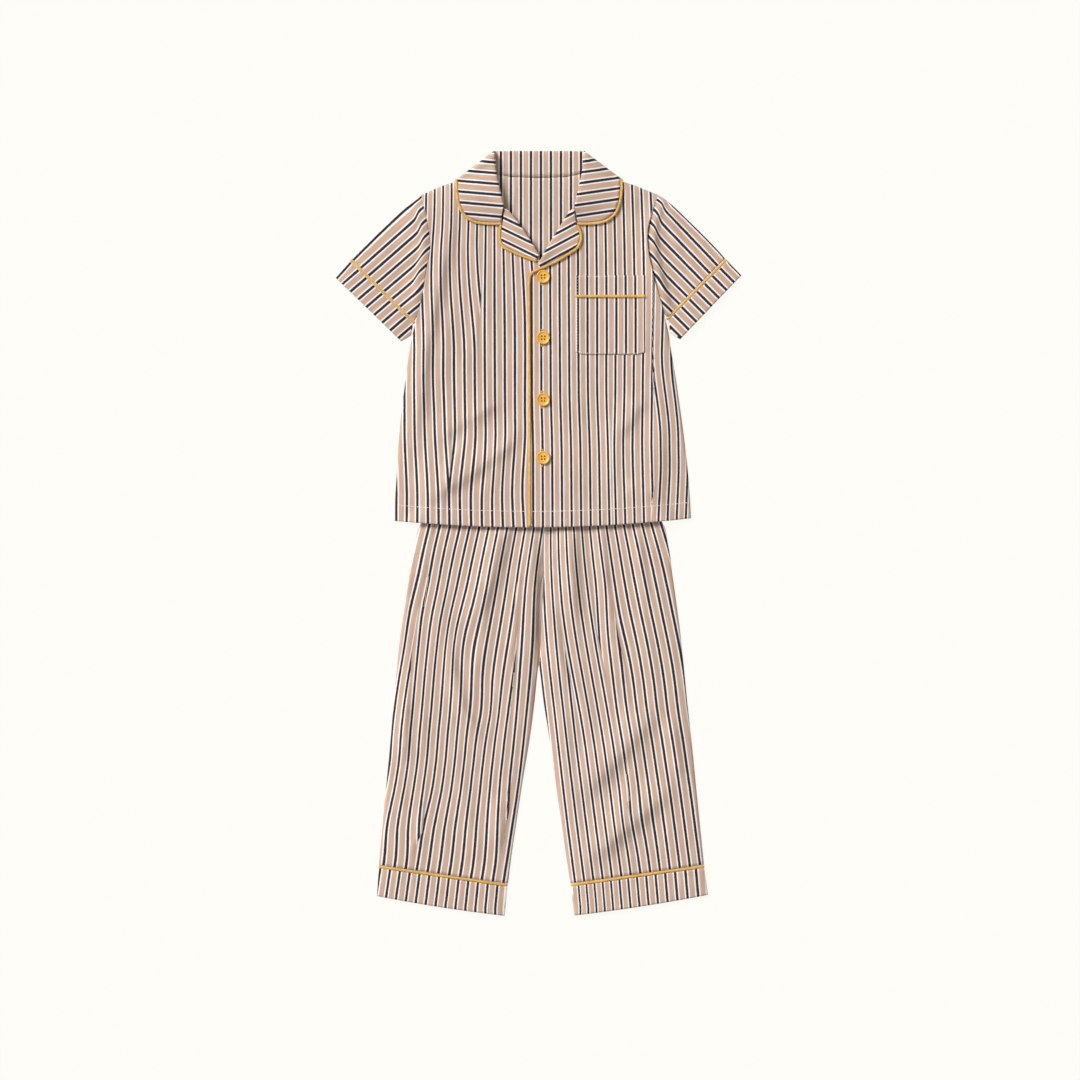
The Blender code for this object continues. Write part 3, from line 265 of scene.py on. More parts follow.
WAISTBAND_GATHERS = 24
WAISTBAND_HEIGHT = 4.2
WAISTBAND_WAVE = 0.3
WAISTBAND_CLOTH = 1.0
LEG_ENDS = {
    "right": {"piping": ((-184.9, -386), (-35.7, -407.6)), "hem": ((-187.2, -420.2), (-39, -443.2))},
    "left": {"piping": ((192.1, -385.6), (37.6, -407.3)), "hem": ((196.6, -418.8), (41.6, -442.8))},
}
LEG_HEM_SAG = 1.4
SLANT_START = -160.0
INNER_FOLDS_TOP = -45.0
STITCH_LIFT = 0.12

# Soft folds in an upper layer: x and height at each end, how high, how wide
SHIRT_FOLDS = (
    # from_x, from_y, to_x, to_y, height, width
    (-103, 262, -112, 176, 1.6, 13),
    (-82, 232, -84, 150, 1.3, 12),
    (-63, 300, -52, 222, 1.4, 13),
    (-60, 148, -112, 52, 1.8, 14),
    (-22, 132, -66, 40, 1.6, 14),
    (134, 176, 146, 62, 1.7, 13),
    (92, 150, 84, 52, 1.5, 14),
    (112, 398, 108, 330, 1.2, 12),
    (-158, 352, -138, 372, 1.4, 9),
    (-168, 330, -140, 350, 1.5, 9),
    (-170, 306, -139, 330, 1.5, 9),
    (160, 354, 141, 374, 1.4, 9),
    (168, 330, 141, 351, 1.5, 9),
    (170, 306, 141, 329, 1.5, 9),
)
TROUSER_FOLDS = (
    (-40, -14, -70, -120, 1.9, 13),
    (-58, -96, -82, -206, 1.8, 14),
    (-26, -70, -44, -190, 1.5, 12),
    (-112, -60, -128, -190, 1.5, 14),
    (-102, -250, -70, -370, 1.7, 15),
    (-136, -300, -140, -372, 1.4, 13),
    (38, -10, 44, -130, 1.9, 13),
    (76, -40, 92, -190, 1.7, 14),
    (42, -150, 66, -260, 1.8, 13),
    (118, -60, 136, -200, 1.5, 14),
    (122, -240, 82, -370, 1.7, 15),
    (150, -290, 154, -374, 1.4, 13),
)
GATHER_HEIGHT = 1.0
GATHER_PITCH = 22.0
GATHER_MIDDLE = 5.9
GATHER_RUN = (-42, 20)
CROTCH_LEFT = 1.0      # the seam between the legs sinks in
CROTCH_WIDTH = 5.5
CROTCH_DEPTH = 3.2
CROTCH_RUN = (14, -45)
SHIRT_PRESS = (10, -26)
PRESSED_SHARE = 0.25

SIDE_STEPS_END = 184.0
SHIRT_ROWS = (15, 392.8)     # first and last row of a shirt panel
HEM_ROWS = 45.0
SHOULDER_SLANT = 286.0
SHOULDER_SHARE = 0.26

# The stripes: one repeat is navy in the middle, white at each side of it, tan between
REPEAT = 11.6
NAVY_HALF = 1.43
WHITE_HALF = 2.98

# How the stripes run on each panel: height, x of one navy stripe, width of a repeat beside it, and how
# many repeats the stripes crowd together 100 mm to the image's right of it
FANS = {
    "shirt_front_right": ((0, -10, 12, 0), (110, -15, 11.5, 0), (260, -16, 11.7, -0.25),
                          (360, -21, 10, 0), (440, -23, 9.7, 0)),
    "shirt_front_left": ((0, 4, 11.2, 0.2), (160, 3.5, 10.9, 0.15), (300, 3, 10.7, -0.1),
                         (440, 3.5, 10.4, 0)),
    "pocket": ((300, 1.3, 11.14, 0), (207, 1.3, 11.14, 0)),
    "shirt_back": ((445, 3, 11.6, 0), (0, 3, 11.6, 0)),
    "trousers_front_right": ((30, 8, 9.5, 0.8), (-60, -4, 10.6, 0.4), (-130, -7, 12.4, -0.5),
                             (-220, -15, 11.4, -0.2), (-290, -23, 11.2, -0.1),
                             (-350, -32, 12.2, 0), (-440, -46, 12.7, 0)),
    "trousers_front_left": ((30, 14.5, 8.1, -1.1), (-30, 14.5, 9.2, -0.9), (-120, 20, 10.5, -0.4),
                            (-220, 30.5, 10.3, -0.5), (-320, 42.5, 10.8, -0.25),
                            (-440, 58, 10.8, -0.25)),
    "leg_cuff_right": ((-388, -45.5, 11.3, 0.1), (-434, -50, 11.5, 0.1)),
    "leg_cuff_left": ((-388, 54, 9.3, -1.1), (-434, 58, 9.3, -1.1)),
}

# Places where the stripes sway: middle, how far that reaches across and up, and by how many repeats they
# go to the image's left
SWAYS = {
    "shirt_front_right": ((-120, 190, 20, 50, 0.15), (-60, 70, 18, 35, -0.15)),
    "shirt_front_left": ((100, 90, 18, 60, 0.12),),
    "trousers_front_right": ((-88, -125, 20, 42, 0.35), (-62, -205, 16, 30, -0.25),
                             (-125, -60, 22, 36, -0.15)),
    "trousers_front_left": ((85, -115, 16, 40, 0.2), (110, -330, 20, 30, 0.2)),
}

# Creases: share of each that moves the cloth at its left-hand side, how deep it is, between which
# heights the cloth goes into it and how many repeats it takes in, and its path as height and x
CREASES = {
    "shirt_front_right": (
        (1, 0.9, (346, 206, 1),
         ((350, -70), (283, -66), (211, -70), (167, -68), (11, -70))),
        (0.33, 1.1, (126, 38, 1), ((126, -101), (91, -100), (56, -104), (11, -110))),
    ),
    "shirt_front_left": (
        (0, 0.7, (108, 213, 1), ((399, 129), (213, 130), (155, 134), (108, 134))),
        (0, 0.6, (90, 0, 0.47), ((90, 135.5), (56, 135), (30, 130), (11, 130))),
        (0.5, 0.5, (172, 90, 0.28), ((172, 85), (108, 84), (30, 85))),
    ),
    "trousers_front_right": (
        (1, 0.9, (-250, -50, 1),
         ((45, -7.5), (-30, -15), (-88, -22.5), (-170, -28), (-268, -39))),
        (1, 0.8, (-225, -35, 1),
         ((45, -113), (6, -119.5), (-65, -135), (-135, -146.5), (-233, -152.5))),
        (1, 0.6, (-270, -392, 1), ((-274, -30.5), (-323, -34), (-358, -41), (-419, -51.5))),
        (1, 0.8, (-283, -388, 1),
         ((-274, -125.5), (-346, -134.5), (-362, -142), (-419, -150))),
    ),
    "trousers_front_left": (
        (0, 0.8, (-255, -75, 1),
         ((45, 17), (-30, 20), (-106, 25.5), (-184, 39.5), (-257, 50))),
        (0, 0.9, (-40, -216, 1),
         ((-7, 54.5), (-114, 68), (-187, 83), (-274, 97), (-419, 115.5))),
        (0, 0.9, (-187, -45, 1), ((45, 67), (-36, 78.5), (-114, 92), (-187, 106.5))),
    ),
}
CREASE_FADE = 400.0         # a crease's pull on the cloth beside it fades over this distance
CREASE_RIDGE = (0.9, -3.6, 3.4)       # share of its depth, place beside the crease, width
CREASE_TROUGH = (0.5, 1.2, 1.8)

# Ridges: height, width of the flank that faces the light, width of the other flank, and the crest from
# its upper end down as x and height
RIDGES = {
    "shirt_front_right": (
        (3.6, 19, 9.5, ((-14, 121), (-78.2, 72), (-139.7, 33))),
        (2.6, 17, 9, ((-38, 160), (-84, 132), (-128.1, 106))),
        (3.4, 13, 8, ((-98.4, 400), (-107, 330), (-120, 271), (-131.7, 204.9),
                          (-139.9, 135.3), (-147, 70))),
    ),
    "shirt_front_left": (
        (2.9, 14, 8, ((124, 163), (91, 108))),
        (1.6, 11, 7, ((100, 58), (134.1, 42))),
        (1.7, 13, 5.5, ((127, 390), (130.3, 323.2), (134.6, 265))),
    ),
    "trousers_front_right": (
        (4.4, 15, 9, ((-34, 50), (-41, 6), (-58.7, -56), (-83.5, -120))),
        (3.4, 10, 7, ((-107, -115), (-100.8, -156), (-87.3, -207), (-57, -248))),
        (3, 11, 6, ((-151, -180), (-155, -270))),
        (2.2, 9, 6, ((-46.5, -300), (-49.5, -372))),
        (2.4, 11, 6, ((-5, 20), (-5, -40), (-6.5, -100), (-10, -160))),
        (1.6, 9, 6.5, ((-150, -30), (-160, -155))),
        (1.3, 9, 6, ((-132, -200), (-136, -262))),
    ),
    "trousers_front_left": (
        (4.2, 13, 8.5, ((34.5, 50), (36.5, 6), (38.5, -48), (43.3, -105))),
        (4.6, 23, 13, ((142, -194), (99.5, -247), (42, -309))),
        (4.6, 23, 13, ((163, -280), (122.7, -320), (46, -384))),
        (2.4, 10, 6.5, ((153, -208), (165, -294))),
        (2.2, 9, 6, ((9, -66), (18.4, -123.4), (34, -192))),
        (1.6, 11, 8, ((27, -180), (38, -335))),
        (1.7, 7, 4.5, ((73, 34), (79, -78))),
        (1.6, 8, 5.5, ((110, 20), (127, -92))),
    ),
}
# The fronts stand up along the armholes: height, width over the image's left and right of the seam
ARMHOLE_RIDGES = {"right": (2.2, 16.0, 7.0), "left": (4.6, 13.0, 8.0)}
ARMHOLE_CREST = 4.5     # beyond the seam, on the sleeve
ARMHOLE_RUN = (390, 360, 320, 280, 236)
SLEEVE_LOWEST = 2.2
SLEEVE_DIPS = {"right": 0.6, "left": 1.2}      # the sleeve's own drop beside its seam
PUCKER_RUN = (392, 372, 284, 262)
PUCKER_RIDGE = (8.5, 4)               # beyond the armhole, width
PUCKER_TROUGH = (14, 2.8)
PUCKER_PITCH = 13.5
CREASE_REACH = 5.0
RIDGE_LIFT = 1.3
RIDGE_PRESS = (15, -9)     # the shirt holds the trousers' ridges down above this
FRONT_LOWEST = 1.95            # the trousers' upper layer stays on the lower one

# Stripes on the sleeves: a navy stripe's place, its angle, the repeat; on the upper fold the place in
# repeats, and the share of the fold from which it holds
SLEEVE_STRIPES = {"right": ((-215.4, 316.4), 42.05, 12.70), "left": ((208.6, 309.7), -46.5, 12.54)}
SLEEVE_EDGE_PLACES = {"right": (0.25, 0.0), "left": (1.11, 0.22)}
EDGE_RUN = 10.5             # the stripes bend towards a fold within this distance
SLEEVE_EASE_STEP = 0.34     # repeats that the easing takes in beside the armhole
SLEEVE_EASE_GAP = 11.0      # the easing crease lies this far from the armhole
SLEEVE_EASE_WIDTH = 3.2
SLEEVE_EASE_RUN = (396, 375, 300, 276)

# Stripes on the collar and the lapels: a navy stripe's place, its angle, the repeat
LEAF_STRIPES = {"right": ((-80.5, 407.6), -5.2, 12.35), "left": ((85.0, 411.0), 8.6, 12.2)}
LAPEL_STRIPES = {"right": ((-24.4, 344.8), -26.0, 11.9), "left": ((26.0, 350.2), 28.4, 11.9)}
LEAF_START = 5.0


# --- Curves and plan shapes -------------------------------------------------------------------

def smooth(value):
    """Ease from 0 to 1."""
    value = np.clip(value, 0.0, 1.0)
    return value * value * (3.0 - 2.0 * value)


def ease(value, start, end):
    """0 at start and beyond, 1 at end and beyond."""
    return smooth((value - start) / (end - start))


def bell(value):
    """1 at 0, fading on both sides."""
    return np.exp(-value ** 2)


def shares(count):
    """Shares of a whole, from 0 to 1."""
    return np.linspace(0, 1, count)


def unit(vector):
    """Vectors at length 1."""
    vector = np.asarray(vector, float)
    return vector / np.maximum(norm(vector, axis=-1, keepdims=True), 1e-9)


def square(way):
    """Plan directions, a quarter turn to the left."""
    return np.stack([-way[..., 1], way[..., 0]], axis=-1)


def ways(line):
    """A line's direction at each of its points."""
    return unit(np.concatenate([line[1:2] - line[:1], line[2:] - line[:-2], line[-1:] - line[-2:-1]]))


def run(line):
    """How far along a line each of its points is."""
    return np.concatenate([[0.0], np.cumsum(norm(np.diff(line, axis=0), axis=1))])


def xy(points):
    """The two plan coordinates of points."""
    return points[..., 0], points[..., 1]


def pair(x, y):
    """Plan points from their coordinates."""
    return np.stack(np.broadcast_arrays(x, y), axis=-1)


def raised(plan, height):
    """Plan points with their heights."""
    plan = np.asarray(plan, float)
    return np.concatenate([plan, np.broadcast_to(height, plan.shape[:-1])[..., None]], axis=-1)


def blank(points, value=0.0):
    """The same value for every point."""
    return np.full(points.shape[:-1], value)


def look_up(table, at, column=1):
    """The table's values at heights, on a smooth curve through its rows."""
    rows = sorted(table)
    heights, values = (np.array([row[place] for row in rows]) for place in (0, column))
    slopes = np.gradient(values, heights)
    at = np.clip(at, heights[0], heights[-1])
    k = np.clip(np.searchsorted(heights, at) - 1, 0, len(rows) - 2)
    span = heights[k + 1] - heights[k]
    t = (at - heights[k]) / span
    return ((2 * t**3 - 3 * t**2 + 1) * values[k] + (t**3 - 2 * t**2 + t) * span * slopes[k]
            + (3 * t**2 - 2 * t**3) * values[k + 1] + (t**3 - t**2) * span * slopes[k + 1])


def along(points, places):
    """Points at the given shares of a line's length."""
    points = np.asarray(points, float)
    begun = run(points)
    places = np.asarray(places) * begun[-1]
    return np.stack([np.interp(places, begun, axis) for axis in points.T], axis=1)


def curve(points, steps=5):
    """A smooth curve through points, with that many steps between two of them."""
    points = np.asarray(points, float)
    before = np.concatenate([2 * points[:1] - points[1:2], points[:-2]])
    after = np.concatenate([points[2:], 2 * points[-1:] - points[-2:-1]])
    low, high = points[:-1], points[1:]
    found = [0.5 * (2 * low + (high - before) * t + (2 * before - 5 * low + 4 * high - after) * t**2
                    + (3 * low - before - 3 * high + after) * t**3) for t in np.arange(steps) / steps]
    return np.concatenate([np.stack(found, axis=1).reshape(-1, points.shape[1]), points[-1:]])


def even(points, spacing):
    """The line again, with points about that far apart."""
    return along(points, shares(max(int(round(run(points)[-1] / spacing)), 1) + 1))


def patch(first_side, last_side, bottom, top, across, up):
    """Plan points between four seam lines, as rows from the bottom line to the top line."""
    u, v = across[None, :, None], up[:, None, None]
    corners = ((1 - u) * (1 - v) * bottom[0] + u * (1 - v) * bottom[-1]
               + (1 - u) * v * top[0] + u * v * top[-1])
    return ((1 - u) * first_side[:, None] + u * last_side[:, None]
            + (1 - v) * bottom[None] + v * top[None] - corners)


def mirrored(point):
    """The same place on the wearer's left of the neck."""
    return (2 * NECK_CENTRE - point[0],) + tuple(point[1:])


def shirt_side(side, height):
    """x of the side seam or armhole."""
    x, lowest = HEM_CORNERS[side]
    return look_up(((lowest, x, x),) + SHIRT_SIDES, height, COLUMN[side])


def shoulder_line(side):
    """From the armhole's top to the neck."""
    if side == "right":
        return np.array(SHOULDER)
    line = np.array([mirrored(point) for point in SHOULDER])
    line[0] = (shirt_side("left", ARMHOLE_TOP), ARMHOLE_TOP)
    return line


def fold_lines():
    """The edges where the shirt's upper and lower layers meet."""
    lines = []
    heights = np.append(np.arange(16.0, ARMPIT_HEIGHT, 20.0), ARMPIT_HEIGHT - 6.0)
    for side in SIDES:
        ends = SLEEVE_ENDS[side]
        seam = [(float(shirt_side(side, height)), height) for height in heights]
        fold = [(row[COLUMN[side]], row[0]) for row in reversed(SLEEVE_FOLD)]
        lines.append(seam + [ends["underarm"], ends["hem"][1]])
        lines.append([ends["hem"][0]] + fold + [tuple(point) for point in shoulder_line(side)])
    return lines


def from_line(points, line):
    """How far plan points are from a line, on which side of it and at which share of its length."""
    line = np.asarray(line, float)
    begun = run(line) / run(line)[-1]
    nearest, side, share = blank(points, 1e9), blank(points), blank(points)
    for k, (start, end) in enumerate(zip(line[:-1], line[1:])):
        step = end - start
        t = np.clip(((points - start) @ step) / (step @ step + 1e-9), 0, 1)
        beyond = points - start - t[..., None] * step
        gap = norm(beyond, axis=-1)
        closer = gap < nearest
        nearest = np.where(closer, gap, nearest)
        side = np.where(closer, np.sign(step[0] * beyond[..., 1] - step[1] * beyond[..., 0]), side)
        share = np.where(closer, begun[k] + t * (begun[k + 1] - begun[k]), share)
    return nearest, side, share


def distance(points, lines):
    """From plan points to the nearest of some lines."""
    return np.min([from_line(points[..., :2], line)[0] for line in lines], axis=0)


# --- Heights of the layers --------------------------------------------------------------------

def folds(points, table):
    """Height that soft folds add."""
    total = blank(points)
    for from_x, from_y, to_x, to_y, height, width in table:
        start = np.array((from_x, from_y))
        step = np.array((to_x, to_y)) - start
        t = ((points[..., :2] - start) @ step) / (step @ step)
        gap = norm(points[..., :2] - start - np.clip(t, 0, 1)[..., None] * step, axis=-1)
        ends = np.sin(pi * np.clip(0.08 + 0.84 * t, 0, 1))
        total += height * np.maximum(ends, 0) * bell(gap / (0.6 * width))
    return total


def loft(points, lines):
    """How far the upper layer stands up, from 0 at a fold."""
    return LOFT * np.sin(0.5 * pi * np.minimum(distance(points, lines) / LOFT_WIDTH, 1.0))


def edge_drop(points, lines):
    """How far an upper layer turns down beside the folds where it meets the lower one."""
    inward = np.clip(distance(points, lines) / EDGE_TURN, 0, 1)
    return EDGE_DROP * (1 - np.sqrt(inward * (2 - inward)))


def ripples(points, height, seed):
    """Small uneven waves of pressed cotton, longer along the set than across it."""
    x, y = xy(points)
    draw = np.random.default_rng(seed).uniform
    total = blank(points)
    for _ in range(RIPPLE_WAVES):
        across, length = draw(0.10, 0.42), draw(0.015, 0.07)
        lean, phase, strength = draw(-0.05, 0.05), draw(0, 2 * pi), draw(0.4, 1.0)
        reach = np.sin(x * draw(0.01, 0.03) + y * draw(0.01, 0.02) + phase * 3)
        total += strength * reach * np.sin(across * x + (length + lean) * y + phase)
    return height * total / 3.2


def path_at(path, height):
    """x of a crease at heights."""
    return np.interp(height, *zip(*sorted(path)))


def crease_shift(panel, points):
    """Repeats that the panel's creases take up, how far right of the nearest crease, and its own share.

    Where a crease is near, its step is left out of the first of these, so that it can be sharp.
    """
    x, y = xy(points)
    shift, nearest, own = blank(points), blank(points, -1e3), blank(points)
    for moves_left, _, (start, full, amount), path in CREASES.get(panel, ()):
        gap = x - path_at(path, y)
        taken = amount * ease(y, start, full)
        shift += np.where(gap > 0, 1 - moves_left, -moves_left) * taken * np.exp(-np.abs(gap) / CREASE_FADE)
        closer = np.abs(gap) < np.abs(nearest)
        nearest = np.where(closer, gap, nearest)
        own = np.where(closer, np.where(np.abs(gap) < CREASE_REACH, taken, 0.0), own)
    shift -= np.where(nearest > 0, own, 0.0)
    return shift, np.clip(nearest, -CREASE_REACH, CREASE_REACH), own


def crease_height(panel, points):
    """The trough of each crease with the soft ridge beside it."""
    x, y = xy(points)
    total = blank(points)
    for _, depth, (start, full, _), path in CREASES.get(panel, ()):
        low, high = min(path)[0], max(path)[0]
        middle, reach = 0.5 * (start + full), 0.7 * abs(full - start)
        strength = bell((y - middle) / reach) + 0.15 * ((y > low) & (y < high))
        gap = x - path_at(path, y)
        ridge, trough = (share * bell((gap - place) / width)
                         for share, place, width in (CREASE_RIDGE, CREASE_TROUGH))
        total += depth * strength * (ridge - trough)
    return total


def ridges(points, table):
    """Folds with a gentle and a steep flank, along lines of plan points."""
    total = blank(points)
    for height, gentle, steep, line in table:
        gap, side, share = from_line(points[..., :2], line)
        ends = np.minimum(ease(share, -0.02, 0.3), ease(share, 1.02, 0.7))
        flank = np.where(side < 0, gentle, steep)
        total = np.hypot(total, RIDGE_LIFT * height * ends * bell(gap / flank))
    return total


def shirt_base(points):
    """Underside of the shirt's back: flat, but lifted over the waistband and over the collar's back."""
    x, y = xy(points)
    widening = ease(y, WAIST_SEAM + 5.0, HEM_MIDDLE)
    half_width = WAIST_HALF_WIDTH + (HEM_HALF_WIDTH - WAIST_HALF_WIDTH) * widening
    side = (half_width + WAIST_SIDE_RAMP - np.abs(x - WAIST_CENTRE)) / WAIST_SIDE_RAMP
    beside = ease(np.abs(x - NECK_CENTRE), NECK_HALF_WIDTH + NECK_SIDE_RAMP, NECK_HALF_WIDTH)
    return WAIST_LIFT * ease(y, *WAIST_RAMP) * smooth(side) + NECK_LIFT * ease(y, *NECK_RAMP) * beside


SHIRT_FOLD_LINES = fold_lines()


def shirt_top(points):
    """Outside of the shirt's upper layer."""
    return (shirt_base(points) + FOLD_HEIGHT + loft(points, SHIRT_FOLD_LINES) + folds(points, SHIRT_FOLDS)
            + ripples(points, *SHIRT_RIPPLES))


def overlap(points):
    """1 where the left front lies on the right one."""
    return ease(points[..., 0], *OVERLAP_SIDE) * ease(points[..., 1], *OVERLAP_TOP)


def hem_at(x):
    """Height of the shirt's hem."""
    first, last = HEM_CORNERS["right"], HEM_CORNERS["left"]
    s = (x - first[0]) / (last[0] - first[0])
    sag = 0.5 * (first[1] + last[1]) - HEM_MIDDLE
    return first[1] + s * (last[1] - first[1]) - 4 * sag * s * (1 - s)


def armhole_ridge(side, points):
    """The ridge that runs down along an armhole."""
    line = [(float(shirt_side(side, y)) + ARMHOLE_CREST * SIGN[side], y) for y in ARMHOLE_RUN]
    return ridges(points, [(*ARMHOLE_RIDGES[side], line)])


def front_top(side, points):
    """Outside of one front panel."""
    panel = f"shirt_front_{side}"
    height = shirt_top(points) + crease_height(panel, points) + ridges(points, RIDGES[panel])
    height += armhole_ridge(side, points)
    height += HEM_STEP * ease(points[..., 1] - hem_at(points[..., 0]), HEM_DEPTH + 1.0, HEM_DEPTH - 0.6)
    if side == "left":
        height += (SOLID_CLOTH + SEAM_CLEAR) * overlap(points)
    return height


def trouser_fold_lines():
    """The legs' side and inner folds."""
    heights = np.array([row[0] for row in TROUSER_EDGES])
    below = heights[heights < INNER_FOLDS_TOP]
    return [pair(look_up(TROUSER_EDGES, levels, column), levels)
            for column, levels in ((1, heights), (4, heights), (2, below), (3, below))]


TROUSER_FOLD_LINES = trouser_fold_lines()


def gathers(points):
    """Waves that run down from the waistband."""
    x, y = xy(points)
    wave = np.cos(2 * pi * (x - GATHER_MIDDLE + 3.0 * np.sin(x * 0.043)) / GATHER_PITCH)
    return GATHER_HEIGHT * ease(y, *GATHER_RUN) * 0.5 * (1.0 + wave)


def trousers_top(points, panel=None):
    """Outside of the trousers' upper layer; it is pressed flatter under the shirt."""
    x, y = xy(points)
    free = ease(y, *SHIRT_PRESS)
    rise = loft(points, TROUSER_FOLD_LINES) + folds(points, TROUSER_FOLDS)
    held = PRESSED_SHARE + (1.0 - PRESSED_SHARE) * free
    height = FOLD_HEIGHT - GAP * (1.0 - free) + held * rise + gathers(points)
    seam = bell((x - look_up(BACK_SEAM, y) + CROTCH_LEFT) / CROTCH_WIDTH)
    height -= CROTCH_DEPTH * seam * ease(y, *CROTCH_RUN)
    height += free * ripples(points, *TROUSER_RIPPLES)
    if panel:
        height += free * crease_height(panel, points)
        height += ease(y, *RIDGE_PRESS) * ridges(points, RIDGES[panel])
    return np.maximum(height, FRONT_LOWEST)


# --- Stripes ----------------------------------------------------------------------------------

def panel_stripes(panel, points):
    """Stripe coordinates on a panel: repeats across, repeats along, and the nearest crease and its step."""
    x, y = xy(points)
    first, repeat, crowding = (look_up(FANS[panel], y, column) for column in (1, 2, 3))
    shift, gap, own = crease_shift(panel, points)
    across = (x - first) / repeat + crowding * ((x - first) / 100) ** 2 + shift
    for middle, height, wide, high, amount in SWAYS.get(panel, ()):
        across += amount * bell((x - middle) / wide) * bell((y - height) / high)
    return np.stack([across, y / REPEAT, gap, own], axis=-1)


def straight_stripes(points, origin, angle, repeat=REPEAT):
    """Stripes in one direction, the angle from the image's right, with a navy stripe through the origin."""
    way = np.array((cos(radians(angle)), sin(radians(angle))))
    beyond = points[..., :2] - np.array(origin)
    return pair((beyond @ square(way)) / repeat, (beyond @ way) / REPEAT)


# --- Finishes ---------------------------------------------------------------------------------

class Nodes:
    """A material's nodes, made and joined in short lines."""

    def __init__(self, name, roughness, specular=0.3, sheen=0.0):
        self.material = bpy.data.materials.new(name)
        self.material.use_nodes = True
        self.tree = self.material.node_tree
        self.shader = self.tree.nodes["Principled BSDF"]
        self.shade(Roughness=roughness)
        self.shade(**{"Specular IOR Level": specular, "Sheen Weight": sheen, "Sheen Roughness": 0.4})

    def shade(self, **values):
        """Drive or set the shader's sockets."""
        for key, value in values.items():
            self.feed(self.shader.inputs[key], value)

    def node(self, kind, values=(), **settings):
        """A node with its settings and the sockets that are given."""
        made = self.tree.nodes.new(kind)
        for key, value in settings.items():
            setattr(made, key, value)
        for key, value in dict(values).items():
            self.feed(made.inputs[key], value)
        return made

    def feed(self, socket, value):
        """Join a socket, or set it."""
        if isinstance(value, bpy.types.NodeSocket):
            self.tree.links.new(value, socket)
        else:
            socket.default_value = value

    def maths(self, operation, first, second=0.0):
        """One sum."""
        return self.node("ShaderNodeMath", {0: first, 1: second}, operation=operation).outputs[0]

    def times(self, first, second):
        """A product."""
        return self.maths("MULTIPLY", first, second)

    def plus(self, first, second):
        """Two values added."""
        return self.maths("ADD", first, second)

    def place(self, layer):
        """Both coordinates of a layer of places on the cloth."""
        layer = self.node("ShaderNodeUVMap", uv_map=layer).outputs[0]
        return self.node("ShaderNodeSeparateXYZ", {0: layer}).outputs[:2]

    def noise(self, scale, detail=2.0, vector=None):
        """Soft noise between about 0.3 and 0.7, in the piece's own metres or by the vector."""
        if vector is None:
            vector = self.node("ShaderNodeTexCoord").outputs["Object"]
        values = {"Vector": vector, "Scale": scale, "Detail": detail, "Roughness": 0.55}
        return self.node("ShaderNodeTexNoise", values).outputs["Fac"]

    def ramp(self, value, low, high, to_low=0.0, to_high=1.0):
        """A smooth step."""
        values = {"Value": value, "From Min": low, "From Max": high, "To Min": to_low, "To Max": to_high}
        return self.node("ShaderNodeMapRange", values, interpolation_type="SMOOTHSTEP").outputs[0]

    def mix(self, share, first, second, kind="MIX"):
        """Colours mixed."""
        sockets = {0: share, 6: first, 7: second}
        return self.node("ShaderNodeMix", sockets, data_type="RGBA", blend_type=kind).outputs[2]

    def bump(self, height, distance, strength=1.0):
        """Relief of that many metres."""
        values = {"Height": height, "Distance": distance, "Strength": strength}
        self.shade(Normal=self.node("ShaderNodeBump", values).outputs[0])

    def colour(self, value):
        """Drive the base colour."""
        self.shade(**{"Base Color": value})


def paint(red, green, blue):
    """A colour as it shows on screen, 0 to 255, turned to light."""
    values = [channel / 255 for channel in (red, green, blue)]
    return (*(v / 12.92 if v <= 0.04045 else ((v + 0.055) / 1.055) ** 2.4 for v in values), 1.0)


TAN = paint(201, 169, 150)
TAN_WARM = paint(208, 177, 155)
TAN_DEEP = paint(184, 150, 130)
WHITE = paint(249, 242, 238)
NAVY = paint(50, 45, 57)
MUSTARD = paint(242, 196, 112)
MUSTARD_DEEP = paint(222, 170, 86)


def striped_cotton():
    """Plain-woven cotton with the navy, white and tan stripe in its yarns."""
    made = Nodes("striped_cotton", 0.82, specular=0.22, sheen=0.12)
    plus, times = made.plus, made.times
    across, length = made.place("cloth")
    nearest, step = made.place("fold")
    across = plus(across, times(made.maths("GREATER_THAN", nearest, 0.0), step))

    def cloudy(wide, long, detail=1.0):
        place = made.node("ShaderNodeCombineXYZ", {0: times(across, wide), 1: times(length, long)})
        return made.noise(1.0, detail, place.outputs[0])

    waver = times(plus(cloudy(6.0, 1.1, 2.0), -0.5), 0.035)
    inside = plus(made.maths("FRACT", plus(across, 0.5)), -0.5)
    reach = times(made.maths("ABSOLUTE", plus(inside, waver)), REPEAT)
    navy = made.ramp(reach, NAVY_HALF + 0.14, NAVY_HALF - 0.14)
    white = made.ramp(reach, WHITE_HALF + 0.16, WHITE_HALF - 0.16)
    yarn, pick, streak = cloudy(24.0, 2.2), cloudy(2.0, 22.0), cloudy(9.0, 0.30, 1.5)
    tan = made.mix(made.ramp(cloudy(0.9, 0.315, 2.0), 0.35, 0.65), TAN, TAN_WARM)
    tan = made.mix(made.ramp(streak, 0.54, 0.74, 0.0, 0.55), tan, TAN_DEEP)
    tan = made.mix(made.ramp(streak, 0.46, 0.28, 0.0, 0.22), tan, WHITE)
    colour = made.mix(navy, made.mix(white, tan, WHITE), NAVY)
    light = plus(plus(times(yarn, 0.10), times(pick, 0.06)), 0.92)
    shade = made.node("ShaderNodeCombineColor", {0: light, 1: light, 2: light}).outputs[0]
    made.colour(made.mix(1.0, colour, shade, "MULTIPLY"))
    warp, weft = (made.maths("SINE", times(value, 2 * pi * 26.0)) for value in (across, length))
    made.bump(plus(times(times(warp, weft), 0.25), plus(yarn, pick)), 0.00006, 0.6)
    return made.material


